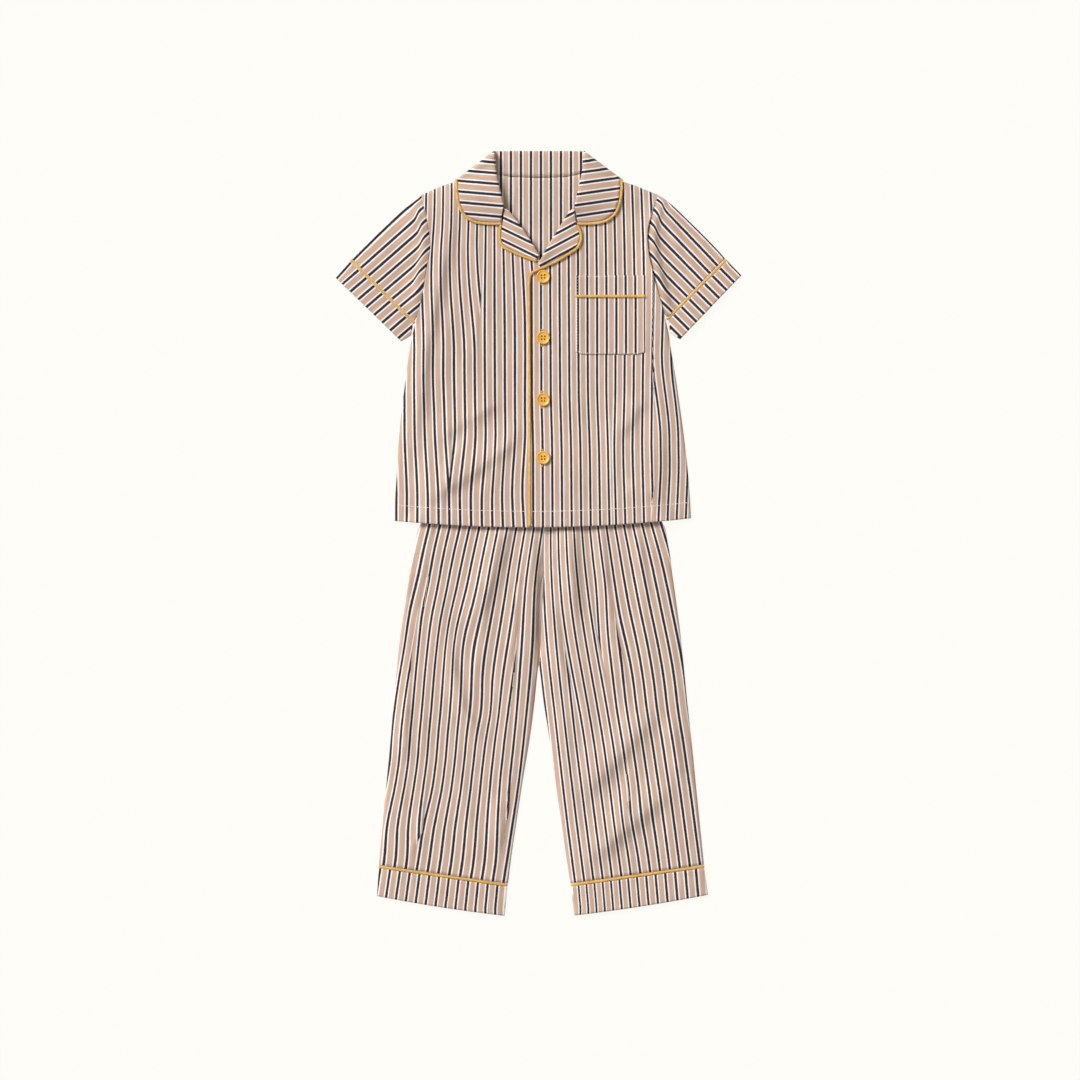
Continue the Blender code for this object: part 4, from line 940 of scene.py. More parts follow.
def piping_cotton():
    """Mustard bias tape over a cord, with its slanting weave."""
    made = Nodes("mustard_piping", 0.72, specular=0.3, sheen=0.15)
    along_cord, round_cord = made.place("cloth")
    slant = made.plus(made.times(along_cord, 9.0), made.times(round_cord, 26.0))
    twill = made.maths("SINE", made.times(slant, 2 * pi))
    fine = made.noise(2200.0)
    share = made.plus(made.times(made.noise(160.0, 3.0), 0.55), made.times(fine, 0.45))
    made.colour(made.mix(made.ramp(share, 0.40, 0.62), MUSTARD_DEEP, MUSTARD))
    made.bump(made.plus(made.times(twill, 0.5), fine), 0.00008, 0.7)
    return made.material


def button_plastic():
    """Moulded mustard plastic, faintly clouded, with fine turning marks."""
    made = Nodes("button_plastic", 0.34, specular=0.5)
    cloud = made.ramp(made.noise(240.0, 4.0), 0.3, 0.7)
    made.colour(made.mix(cloud, paint(232, 170, 66), paint(247, 195, 94)))
    made.shade(Roughness=made.ramp(made.noise(900.0), 0.3, 0.7, 0.28, 0.42))
    made.bump(made.noise(1600.0, 3.0), 0.00003, 0.5)
    return made.material


def thread(name, dark, light):
    """Sewing thread: two plies twisted together."""
    made = Nodes(name, 0.6, specular=0.3, sheen=0.1)
    fibre = made.noise(3000.0)
    made.colour(made.mix(made.ramp(fibre, 0.35, 0.65), paint(*dark), paint(*light)))
    made.bump(fibre, 0.00004, 0.6)
    return made.material


FINISHES = {
    "stripe_tan": striped_cotton(),
    "piping_mustard": piping_cotton(),
    "button_mustard": button_plastic(),
    "thread_white": thread("white_thread", (222, 216, 210), (252, 250, 246)),
    # thread in the button holes: real thread, but its dark brown is painted shade standing for the shade
    # inside the holes
    "thread_brown": thread("thread_with_painted_hole_shade", (74, 30, 22), (104, 48, 34)),
    "thread_mustard": thread("mustard_thread", (218, 164, 78), (244, 204, 126)),
}


# --- Makers of pieces -------------------------------------------------------------------------

def placed(name, data):
    """A new object in the scene."""
    made = bpy.data.objects.new(name, data)
    bpy.context.scene.collection.objects.link(made)
    return made


def mesh_piece(name, points, faces, corners, finish, wall=None, offset=-1.0):
    """One piece from points in millimetres, faces and each face corner's place on the cloth."""
    mesh = bpy.data.meshes.new(name)
    mesh.from_pydata((np.asarray(points, float) * MM).tolist(), [],
                     faces if isinstance(faces, list) else faces.tolist())
    corners = np.asarray(corners, np.float32)
    corners = corners.reshape(-1, corners.shape[-1])
    mesh.uv_layers.new(name="cloth").data.foreach_set("uv", corners[:, :2].ravel())
    if finish == "stripe_tan":
        plain = np.tile(np.float32((-1.0, 0.0)), (len(corners), 1))
        fold = corners[:, 2:] if corners.shape[1] == 4 else plain
        mesh.uv_layers.new(name="fold").data.foreach_set("uv", fold.ravel())
    mesh.shade_smooth()
    mesh.materials.append(FINISHES[finish])
    made = placed(name, mesh)
    if wall:
        solid = made.modifiers.new("wall", 'SOLIDIFY')
        solid.thickness = wall * MM
        solid.offset = offset
        solid.use_rim = True
    return made


def grid_faces(rows, columns, closed=False):
    """Quads of a grid of points stored row by row."""
    row = np.arange(rows - 1)[:, None] * columns
    column = np.arange(columns if closed else columns - 1)[None, :]
    beside = (column + 1) % columns
    upper = row + columns
    return np.stack([row + column, row + beside, upper + beside, upper + column], axis=-1).reshape(-1, 4)


def grid_corners(places):
    """Cloth places of the corners of a grid's quads; a closed grid has one more column of them."""
    low, high = places[:-1], places[1:]
    corners = np.stack([low[:, :-1], low[:, 1:], high[:, 1:], high[:, :-1]], axis=2)
    return corners.reshape(-1, 4, places.shape[-1])


def facing(points, faces, corners, inside=None):
    """The faces with their corners, turned over together if they look down, or towards the inside."""
    a, b, c = (points[faces[:, k]] for k in range(3))
    way = (0.0, 0.0, 1.0) if inside is None else a - inside
    if (np.cross(b - a, c - a) * way).sum() < 0:
        return faces[:, ::-1], corners[:, ::-1]
    return faces, corners


def dress(made, node):
    """The piece rides on the set and, given a node, stands for that solid, which is hidden."""
    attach(made, "root")
    if node:
        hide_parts(node)
    return made


def grid_sheet(node, plan, heights, places, wall=CLOTH):
    """A sheet of cloth with its outside at the given heights."""
    points = raised(plan, heights).reshape(-1, 3)
    faces, corners = facing(points, grid_faces(*plan.shape[:2]), grid_corners(places))
    made = mesh_piece(f"{node}_cloth", points, faces, corners, "stripe_tan", wall)
    dress(made, node)


def leaf(node, sections, places):
    """The cloth of the collar or of a lapel, from its mid-line sections."""
    made = mesh_piece(f"{node}_cloth", sections.reshape(-1, 3), grid_faces(*sections.shape[:2]),
                      grid_corners(places), "stripe_tan", LEAF_CLOTH, 0.0)
    dress(made, node)


def folded_edge(centre, outward, reach, low, high, angles):
    """Points round the folded edge of a tube, from the upper layer's height to the lower one's."""
    plan = centre[..., None, :] + reach * np.cos(angles)[:, None] * outward[..., None, :]
    low, high = np.asarray(low)[..., None], np.asarray(high)[..., None]
    return raised(plan, 0.5 * (high + low) + 0.5 * (high - low) * np.sin(angles))


def round_stripes(upper, inner, rise, edge_place):
    """The upper layer's stripes, held at their place on the first fold, and how far they run round it."""
    outward = np.sign(upper[:, 0, 0] - upper[:, 2, 0])
    round_fold = outward * 0.5 * pi * (0.25 * rise + 0.5 * FOLD_RADIUS) / REPEAT
    if edge_place:
        place, start = edge_place
        reach = norm(inner - inner[:, :1], axis=-1)
        held = ease(shares(len(upper)), start - 0.16, start)
        off = held * (upper[:, 0, 0] + round_fold - outward * place)
        upper[..., 0] -= off[:, None] * ease(reach, EDGE_RUN, 1.0)
    return upper, round_fold


def tube_sheet(node, plan, top, stripes, wall, edge_place=None):
    """Cloth sewn into a tube and laid flat; the seam runs along the last column of the plan.

    The stripes run on round the first fold. edge_place gives their place there, in repeats, and from
    which share of the fold's length it is held."""
    outs = [unit(plan[:, 0] - plan[:, 1]), unit(plan[:, -1] - plan[:, -2])]
    inner = plan.copy()
    inner[:, 0] -= outs[0] * FOLD_RADIUS
    inner[:, -1] -= outs[1] * FOLD_RADIUS
    heights = top(inner)
    angles = np.radians(FOLD_ANGLES)
    count, middle = len(angles), len(angles) // 2
    first, last = (folded_edge(inner[:, column], outs[column], FOLD_RADIUS, TUBE_LOW, heights[:, column],
                               angles) for column in (0, -1))
    upper, round_fold = round_stripes(stripes(inner), inner, heights[:, 0] - TUBE_LOW, edge_place)
    mirror = 2 * upper[:, :1] - upper
    mirror[..., 0] += 2 * round_fold[:, None]
    mirror[..., 1] = upper[..., 1]
    turn = shares(count + 2)[1:-1][None, :, None]
    loop = np.concatenate([last[:, middle:], raised(inner[:, ::-1], TUBE_LOW), first[:, ::-1],
                           raised(inner, heights), last[:, :middle]], axis=1)
    places = np.concatenate([np.repeat(mirror[:, -1:], count - middle, axis=1), mirror[:, ::-1],
                             mirror[:, :1] + turn * (upper[:, :1] - mirror[:, :1]), upper,
                             np.repeat(upper[:, -1:], middle + 1, axis=1)], axis=1)
    points = loop.reshape(-1, 3)
    faces, corners = facing(points, grid_faces(*loop.shape[:2], closed=True), grid_corners(places),
                            points.mean(axis=0))
    made = mesh_piece(f"{node}_cloth", points, faces, corners, "stripe_tan", wall)
    dress(made, node)


def cord_mesh(path, across, wide, high, sides=10, closed=False):
    """Points, faces and cloth places of an oval strip along a path."""
    count = len(path)
    tangent = unit(np.roll(path, -1, axis=0) - np.roll(path, 1, axis=0)) if closed else ways(path)
    if across is None:
        across = np.cross(np.array((0.0, 0.0, 1.0)), tangent)
    across = unit(across - np.sum(across * tangent, axis=1, keepdims=True) * tangent)
    angles = 2 * pi * np.arange(sides) / sides
    rings = (path[:, None] + 0.5 * wide * np.cos(angles)[None, :, None] * across[:, None]
             + 0.5 * high * np.sin(angles)[None, :, None] * np.cross(tangent, across)[:, None])
    begun = run(path)
    if closed:
        rings = np.concatenate([rings, rings[:1]])
        begun = np.append(begun, begun[-1] + norm(path[0] - path[-1]))
    corners = grid_corners(pair(begun[:, None] / REPEAT, np.arange(sides + 1)[None] / sides)).reshape(-1, 2)
    faces = grid_faces(len(rings), sides, closed=True)
    points = rings.reshape(-1, 3)[:count * sides]
    if closed:
        return points, (faces % (count * sides)).tolist(), corners
    ends = [list(range(sides))[::-1], [(count - 1) * sides + k for k in range(sides)]]
    return points, faces.tolist() + ends, np.concatenate([corners, np.zeros((2 * sides, 2))])


def piping(node, path, across=None, closed=False):
    """A strip of piping, its faces turned outwards."""
    strip = cord_mesh(path, across, PIPE_SHOWS, PIPE_HEIGHT, closed=closed)
    made = mesh_piece(f"{node}_strip", *strip, "piping_mustard")
    if sum(face.area * face.center.dot(face.normal) for face in made.data.polygons) < 0:
        made.data.flip_normals()
    dress(made, node)


def merged(parts):
    """Points, faces and cloth places of many small meshes."""
    firsts = np.cumsum([0] + [len(part[0]) for part in parts]).tolist()
    faces = [[first + index for index in face] for first, part in zip(firsts, parts) for face in part[1]]
    return np.concatenate([part[0] for part in parts]), faces, np.concatenate([part[2] for part in parts])


def stitches(name, line, top, length=2.6, gap=1.0, wide=0.62):
    """Running stitches along a plan line, lying on what is below."""
    line = even(line, 0.5)
    begun = 0.5 * np.arange(len(line))
    source = np.random.default_rng(len(name))
    parts = []
    at = 0.3
    while at + length < begun[-1]:
        places = np.linspace(at, at + length * source.uniform(0.9, 1.06), 5)
        plan = pair(*(np.interp(places, begun, axis) for axis in line.T))
        rise = np.sin(np.linspace(0.12, pi - 0.12, 5)) * wide * 0.5
        path = raised(plan, top(plan) + STITCH_LIFT + rise - 0.35 * wide)
        parts.append(cord_mesh(path, None, wide, wide * 0.8, sides=6))
        at += length + gap
    dress(mesh_piece(name, *merged(parts), "thread_white"), None)


# --- Shirt ------------------------------------------------------------------------------------

def lapel_seam(side):
    """Where the turned-back facing joins its front, from the neck down."""
    stations = np.array(LAPEL_STATIONS[side])
    edges, rolls = stations[:, 0:2], stations[:, 2:4]
    normals = square(ways(rolls))
    normals *= np.sign(np.sum(normals * (edges - rolls), axis=1, keepdims=True))
    reach = np.minimum(LAPEL_SEAM, 0.45 * norm(edges - rolls, axis=1))
    return rolls + reach[:, None] * normals


def neck_seam(side):
    """The collar's seam on one front, from the lapel up to the shoulder."""
    points = [station[4:6] for station in COLLAR_STATIONS if station[6] < 1.0]
    return np.array(points if side == "right" else [mirrored(point) for point in points])


def front_edge(side):
    """A front's inner edge from the hem to the neck, as rows of height and x."""
    if side == "right":
        below = list(UNDERLAP)
    else:
        below = [(x + PIPE_SEAM, y) for x, y in FRONT_PIPING[::-1] if y < CLOSURE_TOP]
    seam = [(x + SIGN[side] * GAP, y) for x, y in lapel_seam(side)[::-1]]
    neck = [(x + SIGN[side] * (GAP + 0.1), y) for x, y in neck_seam(side)[:-1] if y < NECK_EDGE_TOP]
    rows = [(y, x) for x, y in below + seam + neck]
    return [row for k, row in enumerate(rows) if k == 0 or row[0] > rows[k - 1][0] + 0.5]


def shirt_rows(step):
    """Heights of a shirt panel's rows, and how far up each row is."""
    low, high = SHIRT_ROWS
    rows = np.linspace(low, high, int((high - low) / step) + 1)
    return rows, (rows - low) / (high - low)


def side_line(side, rows):
    """The side seam and armhole at every row."""
    low = SHIRT_ROWS[0]
    heights = rows + (HEM_CORNERS[side][1] - low) * (1 - smooth((rows - low) / HEM_ROWS))
    return pair(shirt_side(side, heights), heights)


def hem_line(from_x, to_x, places):
    """The hem between two places."""
    x = from_x + places * (to_x - from_x)
    return pair(x, hem_at(x))


def front_plan(side, step=1.8):
    """Plan points of a front panel, hem to shoulder, from its side to its inner edge."""
    edge_rows = np.array(front_edge(side))
    rows, up = shirt_rows(step)
    neck_top = shoulder_line(side)[-1]
    levels = rows - (SHIRT_ROWS[0] - HEM_MIDDLE) * (1 - smooth((rows - SHIRT_ROWS[0]) / HEM_ROWS))
    levels = levels + (neck_top[1] - ARMHOLE_TOP) * ease(rows, SHOULDER_SLANT, ARMHOLE_TOP)
    inner = pair(np.interp(levels, edge_rows[:, 0], edge_rows[:, 1]), levels)
    inner[-1] = neck_top
    outer = side_line(side, rows)
    across = shares(int(SIDE_STEPS_END / step) + 1)
    hem = hem_line(outer[0][0], inner[0][0], across)
    inner[0] = hem[-1]
    return patch(outer, inner, hem, along(shoulder_line(side), across), across, up)


def front(side):
    """A front panel, lying on the back and turned down to it at the side."""
    plan = front_plan(side)
    panel = f"shirt_front_{side}"
    heights = front_top(side, plan) - edge_drop(plan, SHIRT_FOLD_LINES)
    grid_sheet(panel, plan, heights, panel_stripes(panel, plan))


def shirt_back(step=3.4):
    """The back panel."""
    rows, up = shirt_rows(step)
    across = shares(int(345 / step) + 1)
    neck = np.array(BACK_NECK + tuple(mirrored(point) for point in BACK_NECK[-2::-1]))
    shoulder, other = across < SHOULDER_SHARE, across > 1 - SHOULDER_SHARE
    middle = ~(shoulder | other)
    top = np.zeros((len(across), 2))
    top[shoulder] = along(shoulder_line("right"), across[shoulder] / SHOULDER_SHARE)
    top[other] = along(shoulder_line("left"), (1 - across[other]) / SHOULDER_SHARE)
    top[middle] = along(neck, (across[middle] - SHOULDER_SHARE) / (1 - 2 * SHOULDER_SHARE))
    hem = hem_line(HEM_CORNERS["right"][0], HEM_CORNERS["left"][0], across)
    hem[:, 1] += 0.9 * np.sin(pi * across)
    plan = patch(side_line("right", rows), side_line("left", rows), hem, top, across, up)
    x, y = xy(plan)
    heights = shirt_base(plan) + CLOTH + 0.12 * (1 + np.sin(x * 0.09 + y * 0.013))
    grid_sheet("shirt_back", plan, heights, panel_stripes("shirt_back", plan))


def offset_up(ends, reach):
    """A line between two points, moved square to itself towards +Y."""
    ends = np.asarray(ends, float)
    away = square(unit(ends[1] - ends[0]))
    return ends + reach * (away if away[1] > 0 else -away)


def beyond_armhole(side, points):
    """How far out on the sleeve points are from its armhole."""
    x, y = xy(points)
    return SIGN[side] * (x - shirt_side(side, y))


def sleeve_stripes(side, points):
    """Stripes along a sleeve, stepping up where it is eased into the armhole."""
    origin, angle, repeat = SLEEVE_STRIPES[side]
    places = straight_stripes(points, origin, angle, repeat)
    lean = 0.0006 * (places[..., 0] * repeat) * (places[..., 1] * REPEAT) / repeat
    inside = 0.5 * (1 - np.tanh((beyond_armhole(side, points) - SLEEVE_EASE_GAP) / SLEEVE_EASE_WIDTH))
    start, full, last, end = SLEEVE_EASE_RUN
    eased = inside * ease(points[..., 1], start, full) * ease(points[..., 1], end, last)
    places[..., 0] += SIGN[side] * lean - SLEEVE_EASE_STEP * eased
    return places


def cuff_stripes(side, points):
    """Stripes along a sleeve's cuff, cut a little off the sleeve's own."""
    origin, angle, repeat = SLEEVE_STRIPES[side]
    return straight_stripes(points, origin, angle + 1.5 * SIGN[side], repeat * 1.01)


def sleeve_top(side, points):
    """Outside of a sleeve: small puckers lie beside the armhole."""
    y = points[..., 1]
    gap = beyond_armhole(side, points)
    start, full, last, end = PUCKER_RUN
    puckered = ease(y, start, full) * ease(y, end, last)
    ridge, trough = (bell((gap - place) / width) for place, width in (PUCKER_RIDGE, PUCKER_TROUGH))
    ridge -= 0.7 * trough
    pucker = 0.5 + 0.5 * np.sin(2 * pi * y / PUCKER_PITCH + 0.6)
    seam = bell(gap / 5.0) * ease(y, start, 380.0)
    height = shirt_top(points) + puckered * ridge * (0.35 + 0.75 * pucker) - SLEEVE_DIPS[side] * seam
    return np.maximum(height, SLEEVE_LOWEST) + armhole_ridge(side, points)


def sleeve(side):
    """A set-in sleeve laid flat."""
    seam = side_line(side, shirt_rows(2.2)[0])[::-1]
    lowest = SLEEVE_ENDS[side]["armpit"]
    armpit = (np.interp(lowest, seam[::-1, 1], seam[::-1, 0]), lowest)
    armhole = np.concatenate([seam[seam[:, 1] > lowest], [armpit]])
    armhole[:, 0] += SIGN[side] * ARMHOLE_CLEAR
    across, up = shares(57), shares(45)
    armhole = along(armhole, across)
    ends = np.array(SLEEVE_ENDS[side]["piping"])
    cuff_line = offset_up(ends, PIPE_SEAM)
    cuff_line[1] -= UNDERARM_SHORT * unit(ends[1] - ends[0])
    cuff_line = along(cuff_line, across)
    fold = along(curve([(row[COLUMN[side]], row[0]) for row in SLEEVE_FOLD]), up)
    fold[0] = armhole[0]
    fold = fold + up[:, None] * (cuff_line[0] - fold[-1])
    plan = patch(fold, along([armhole[-1], cuff_line[-1]], up), armhole, cuff_line, across, up)
    tube_sheet(f"sleeve_{side}", plan, partial(sleeve_top, side), partial(sleeve_stripes, side), CLOTH,
               SLEEVE_EDGE_PLACES[side])


def sleeve_cuff(side):
    """The turned band beyond the sleeve's piping."""
    ends = {key: np.array(value) for key, value in SLEEVE_ENDS[side].items()}
    start = ends["piping"] + PIPE_SEAM * unit(ends["hem"][0] - ends["piping"][0])
    start[1] -= 0.6 * unit(ends["piping"][1] - ends["piping"][0])
    fold = along([start[0], ends["hem"][0]], shares(13))
    underarm = along([start[1], ends["underarm"], ends["hem"][1]], shares(13))
    plan = np.array([along(row, shares(49)) for row in zip(fold, underarm)])
    tube_sheet(f"sleeve_cuff_{side}", plan, shirt_top, partial(cuff_stripes, side), BAND_CLOTH,
               SLEEVE_EDGE_PLACES[side])
    piping_ring(f"sleeve_piping_{side}", ends["piping"], shirt_top, 42)


def piping_ring(node, ends, top, count):
    """Piping round a flat tube, along the line between two plan points."""
    way = unit(ends[1] - ends[0])
    inner = along([ends[0] - PIPE_PROUD * way, ends[1] + 0.2 * way], shares(count))
    reach = FOLD_RADIUS + 0.2
    inset = PIPE_HEIGHT / 2
    inner[0] += reach * way
    inner[-1] -= reach * way
    high = top(inner) + 2 * PIPE_PROUD
    first, last = (folded_edge(inner[column], outward, reach - inset, inset, high[column] - inset,
                               np.radians(PIPE_ANGLES)) for column, outward in ((0, -way), (-1, way)))
    path = np.concatenate([raised(inner, high - inset), last, raised(inner[::-1], inset), first[::-1]])
    piping(node, path, np.tile(np.append(square(way), 0.0), (len(path), 1)), closed=True)


def inset_line(edges, towards, reach, turns=None):
    """A line of plan points moved in square to itself; straight towards the others where it turns over."""
    before = unit(np.diff(edges, axis=0))
    before = np.concatenate([before[:1], before])
    after = np.concatenate([before[1:], before[-1:]])
    line = unit(before + after)
    corners = np.maximum(np.sum(before * line, axis=1), 0.7)
    sides = np.sum(square(line) * (towards - edges), axis=1)
    sides = np.full(len(edges), sides.sum()) if turns is None else sides
    moved = edges + reach * square(line) * np.sign(sides)[:, None] / corners[:, None]
    if turns is not None:
        turning = (turns > 0.0) & (turns < 1.0)
        moved[turning] = edges[turning] + reach * unit(towards - edges)[turning]
    return moved


def turned_section(edge_in, roll, seam, fall_height, stand_height, rise):
    """Mid-line of a collar or lapel: in from its outer edge, over the roll line, back to its seam."""
    roll_in = roll + ROLL_INSET * unit(edge_in - roll)
    stand_in = roll + min(ROLL_INSET, 0.6 * norm(seam - roll)) * unit(seam - roll)
    fall = edge_in + shares(15)[:, None] * (roll_in - edge_in)
    fall_z = fall_height(fall) + rise * smooth(shares(15))
    stand = stand_in + shares(6)[:, None] * (seam - stand_in)
    stand_z = stand_height(stand)
    angles = np.radians((60.0, 25.0, 0.0, -25.0, -60.0))[:, None]
    bend = roll + (1 - np.cos(angles)) * (np.where(angles > 0, roll_in, stand_in) - roll)
    bend_z = 0.5 * (fall_z[-1] + stand_z[0]) + 0.5 * (fall_z[-1] - stand_z[0]) * np.sin(angles[:, 0])
    return np.concatenate([raised(fall, fall_z), raised(bend, bend_z), raised(stand, stand_z)])


def leaf_sections(stations, top, rise, stand_rise=0.0, turns=None):
    """Mid-line sections of the collar or a lapel on what is below; where a turn is 1 it lies behind."""
    edges = inset_line(stations[:, 0:2], stations[:, 2:4], PIPE_SEAM, turns)

    def section(edge, station, turn):
        def fall(points):
            over = top(points) + LYING_CLEAR + SOLID_CLOTH / 2
            return (1 - turn) * over + turn * SOLID_CLOTH / 2

        def stand(points):
            over = top(points) - SOLID_CLOTH / 2 + stand_rise * ease(points[..., 1], *STAND_RUN)
            return (1 - turn) * over + turn * (NECK_LIFT + GAP)

        return turned_section(edge, station[2:4], station[4:6], fall, stand, rise * (1 - turn))

    turns = np.zeros(len(stations)) if turns is None else turns
    return np.array([section(*row) for row in zip(edges, stations, turns)])


def collar_stations():
    """Every station of the collar, from the right lapel round the back to the left lapel."""
    half = [list(station) for station in COLLAR_STATIONS]
    other = [[*mirrored(s[0:2]), *mirrored(s[2:4]), *mirrored(s[4:6]), s[6]] for s in half[::-1]]
    stations = curve(half + [list(COLLAR_MIDDLE_BACK)] + other)
    stations[:, 6] = np.clip(stations[:, 6], 0.0, 1.0)
    return stations


def fronts_top(points):
    """Outside of whichever front lies at a place on the collar."""
    return np.where(points[..., 0] < NECK_CENTRE, front_top("right", points), front_top("left", points))


def collar_places(sections, stations):
    """Stripes cross the collar's leaves and stand upright behind the neck."""
    x, y = xy(sections)
    right, left = (straight_stripes(sections, *LEAF_STRIPES[side])[..., 0] - LEAF_START
                   for side in SIDES)
    leaves = np.where(x < NECK_CENTRE, right, -left)
    behind = ease(np.abs(stations[:, 2] - NECK_CENTRE), 46.0, 34.0) * (stations[:, 6] >= 1.0)
    share = np.repeat(behind[:, None], sections.shape[1], axis=1)
    stand = np.arange(sections.shape[1]) >= FALL_COLUMNS
    share[:, stand] = np.maximum(share[:, stand], smooth(stations[:, 6] / 0.3)[:, None])
    return pair((1 - share) * leaves + share * (x - 3.0) / REPEAT,
                (1 - share) * x / REPEAT + share * y / REPEAT)


def collar():
    """The notched collar and the piping round its fall."""
    stations = collar_stations()
    sections = leaf_sections(stations, fronts_top, ROLL_RISE, STAND_RISE, stations[:, 6])
    leaf("collar", sections, collar_places(sections, stations))
    edge, turn = stations[:, 0:2], stations[:, 6]
    over = fronts_top(edge) + LYING_CLEAR + PIPE_HEIGHT / 2
    path = raised(edge, (1 - turn) * over + turn * (PIPE_HEIGHT / 2 + 0.1))
    keep = np.append(True, norm(np.diff(path, axis=0), axis=1) > 0.05)
    piping("collar_piping", path[keep], raised(edge - sections[:, 0, :2], 0.0)[keep])


def lapel(side):
    """A lapel with its piping; the left one's piping runs on down the front edge."""
    stations = curve(np.column_stack([np.array(LAPEL_STATIONS[side]), lapel_seam(side)]))
    sections = leaf_sections(stations, partial(front_top, side), LAPEL_RISE)
    leaf(f"lapel_{side}", sections, straight_stripes(sections, *LAPEL_STRIPES[side]))
    rise = LYING_CLEAR + PIPE_HEIGHT / 2
    plan = stations[:, 0:2].copy()
    plan[0] = 0.6 * plan[0] + 0.4 * plan[2]
    path = raised(plan, front_top(side, plan) + rise)
    if side == "right":
        piping("lapel_piping_right", path)
        return
    down = even(curve(np.concatenate([plan[-2:-1], np.array(FRONT_PIPING)]), steps=6)[6:], 2.4)
    step_down = (SOLID_CLOTH + SEAM_CLEAR) * ease(down[:, 1], *PIPING_STEP)
    lower = raised(down, front_top("right", down) + step_down + rise)
    piping("front_piping_left", np.concatenate([path, lower]))


def on_pocket(points):
    """Outside of the pocket, for what lies on it."""
    return front_top("left", points) + POCKET_CLEAR + POCKET_TOP_SIDE


def pocket():
    """The breast pocket with its turned top band, its piping and the stitches round it."""
    columns = np.linspace(POCKET_LEFT, POCKET_RIGHT, 49)
    rows = np.linspace(POCKET_BOTTOM, POCKET_TOP, 55)
    plan = np.stack(np.meshgrid(columns, rows), axis=-1)
    corner = np.minimum(np.abs(columns - POCKET_LEFT), np.abs(columns - POCKET_RIGHT))
    lift = POCKET_CORNER_RISE * ease(corner, 9.0, 0.0)
    plan[..., 1] += lift[None] * ease(rows, POCKET_BOTTOM + 20.0, POCKET_BOTTOM)[:, None]
    band = ease(plan[..., 1], POCKET_PIPING - 0.6, POCKET_PIPING + 0.6)
    outline = [(POCKET_LEFT, POCKET_TOP), (POCKET_LEFT, POCKET_BOTTOM), (POCKET_RIGHT, POCKET_BOTTOM),
               (POCKET_RIGHT, POCKET_TOP), (POCKET_LEFT, POCKET_TOP)]
    rim = distance(plan, [outline])
    thick = POCKET_THICK + POCKET_BAND * band
    thick += POCKET_RIM * ease(rim, 9.0, 2.0) - POCKET_EDGE * ease(rim, 1.6, 0.0)
    places = panel_stripes("pocket", plan)
    places[..., 0] += 0.04 * band
    grid_sheet("pocket", plan, front_top("left", plan) + POCKET_CLEAR + thick, places,
               POCKET_CLOTH)
    line = pair(columns, POCKET_PIPING)
    piping("pocket_piping", raised(line, on_pocket(line) + PIPE_HEIGHT / 2 + 0.05))
    left, right = POCKET_LEFT + POCKET_STITCH_INSET, POCKET_RIGHT - POCKET_STITCH_INSET
    bottom = POCKET_BOTTOM + POCKET_STITCH_INSET
    below = [(left, POCKET_TOP - 1.0), (left, bottom + 2.0), (POCKET_LEFT + 8.0, bottom),
             (POCKET_RIGHT - 8.0, bottom), (right, bottom + 2.0), (right, POCKET_TOP - 1.0)]
    above = [(POCKET_LEFT + 2.0, POCKET_TOP - 1.5), (POCKET_RIGHT - 2.0, POCKET_TOP - 1.5)]
    for name, line in (("pocket_stitches", below), ("pocket_top_stitches", above)):
        stitches(name, line, on_pocket, wide=0.5, length=2.2, gap=1.3)


def turned(profile, segments, centre=(0.0, 0.0)):
    """Points, faces and cloth places of a turned solid."""
    angles = 2 * pi * np.arange(segments) / segments
    points = [(centre[0] + reach * cos(a), centre[1] + reach * sin(a), level)
              for reach, level in profile for a in angles]
    faces = grid_faces(len(profile), segments, closed=True).tolist()
    faces += [list(range(segments))[::-1], [(len(profile) - 1) * segments + k for k in range(segments)]]
    return np.array(points), faces, np.zeros((sum(map(len, faces)), 2))


def posts(reach, low, high, segments):
    """Four upright posts, one at each hole of a button."""
    half = BUTTON_HOLE_SPACING / 2
    holes = ((-half, -half), (half, -half), (half, half), (-half, half))
    return merged([turned([(reach, low), (reach, high)], segments, hole) for hole in holes])


def drilled(made, drill):
    """Cut the drill's holes through a piece."""
    cut = made.modifiers.new("holes", 'BOOLEAN')
    cut.object = drill
    cut.solver = 'EXACT'
    bpy.context.view_layer.update()
    whole = bpy.data.meshes.new_from_object(made.evaluated_get(bpy.context.evaluated_depsgraph_get()))
    made.modifiers.clear()
    made.data = whole
    bpy.data.objects.remove(drill)
    whole.shade_smooth()
    whole.set_sharp_from_angle(angle=radians(40))


def button(number, height):
    """A four-hole button with a raised rounded rim, its thread, coloured dark brown as painted shade in its
    holes, and its buttonhole.
    """
    radius = BUTTON_DIAMETER / 2
    across, up = BUTTON_ROUND
    profile = [(radius - inset, level) for inset, level in BUTTON_RIM]
    profile += [(radius - across + across * cos(a), BUTTON_THICKNESS - up + up * sin(a))
                for a in np.radians((15, 35, 55, 75, 95, 120, 145))]
    profile += [(radius - inset, BUTTON_THICKNESS - drop) for inset, drop in BUTTON_DISH]
    made = mesh_piece(f"button_{number}_plastic", *turned(profile, 56), "button_mustard")
    drilled(made, mesh_piece("drill", *posts(BUTTON_HOLE / 2, -1.0, 4.0, 16), "button_mustard"))
    # thread plugs set low in the holes, dark brown as painted shade for the hollows of the holes
    sewn = mesh_piece(f"button_{number}_thread", *posts(BUTTON_HOLE / 2 - 0.12, 0.2, 0.9, 12),
                      "thread_brown")
    dress(sewn, None)
    reach = 0.8 * radius
    low, middle, high = front_top("left", pair(BUTTON_X, height + reach * np.arange(-1.0, 2.0)))
    rest = max(middle, 0.5 * (low + high)) + GAP + 0.1
    for piece in (made, sewn):
        piece.location = (BUTTON_X * MM, height * MM, rest * MM)
        piece.rotation_euler = (atan2(high - low, 2 * reach), 0.0, radians(3.0 * sin(2.1 * number)))
    dress(made, f"button_{number}")
    buttonhole(number, height)


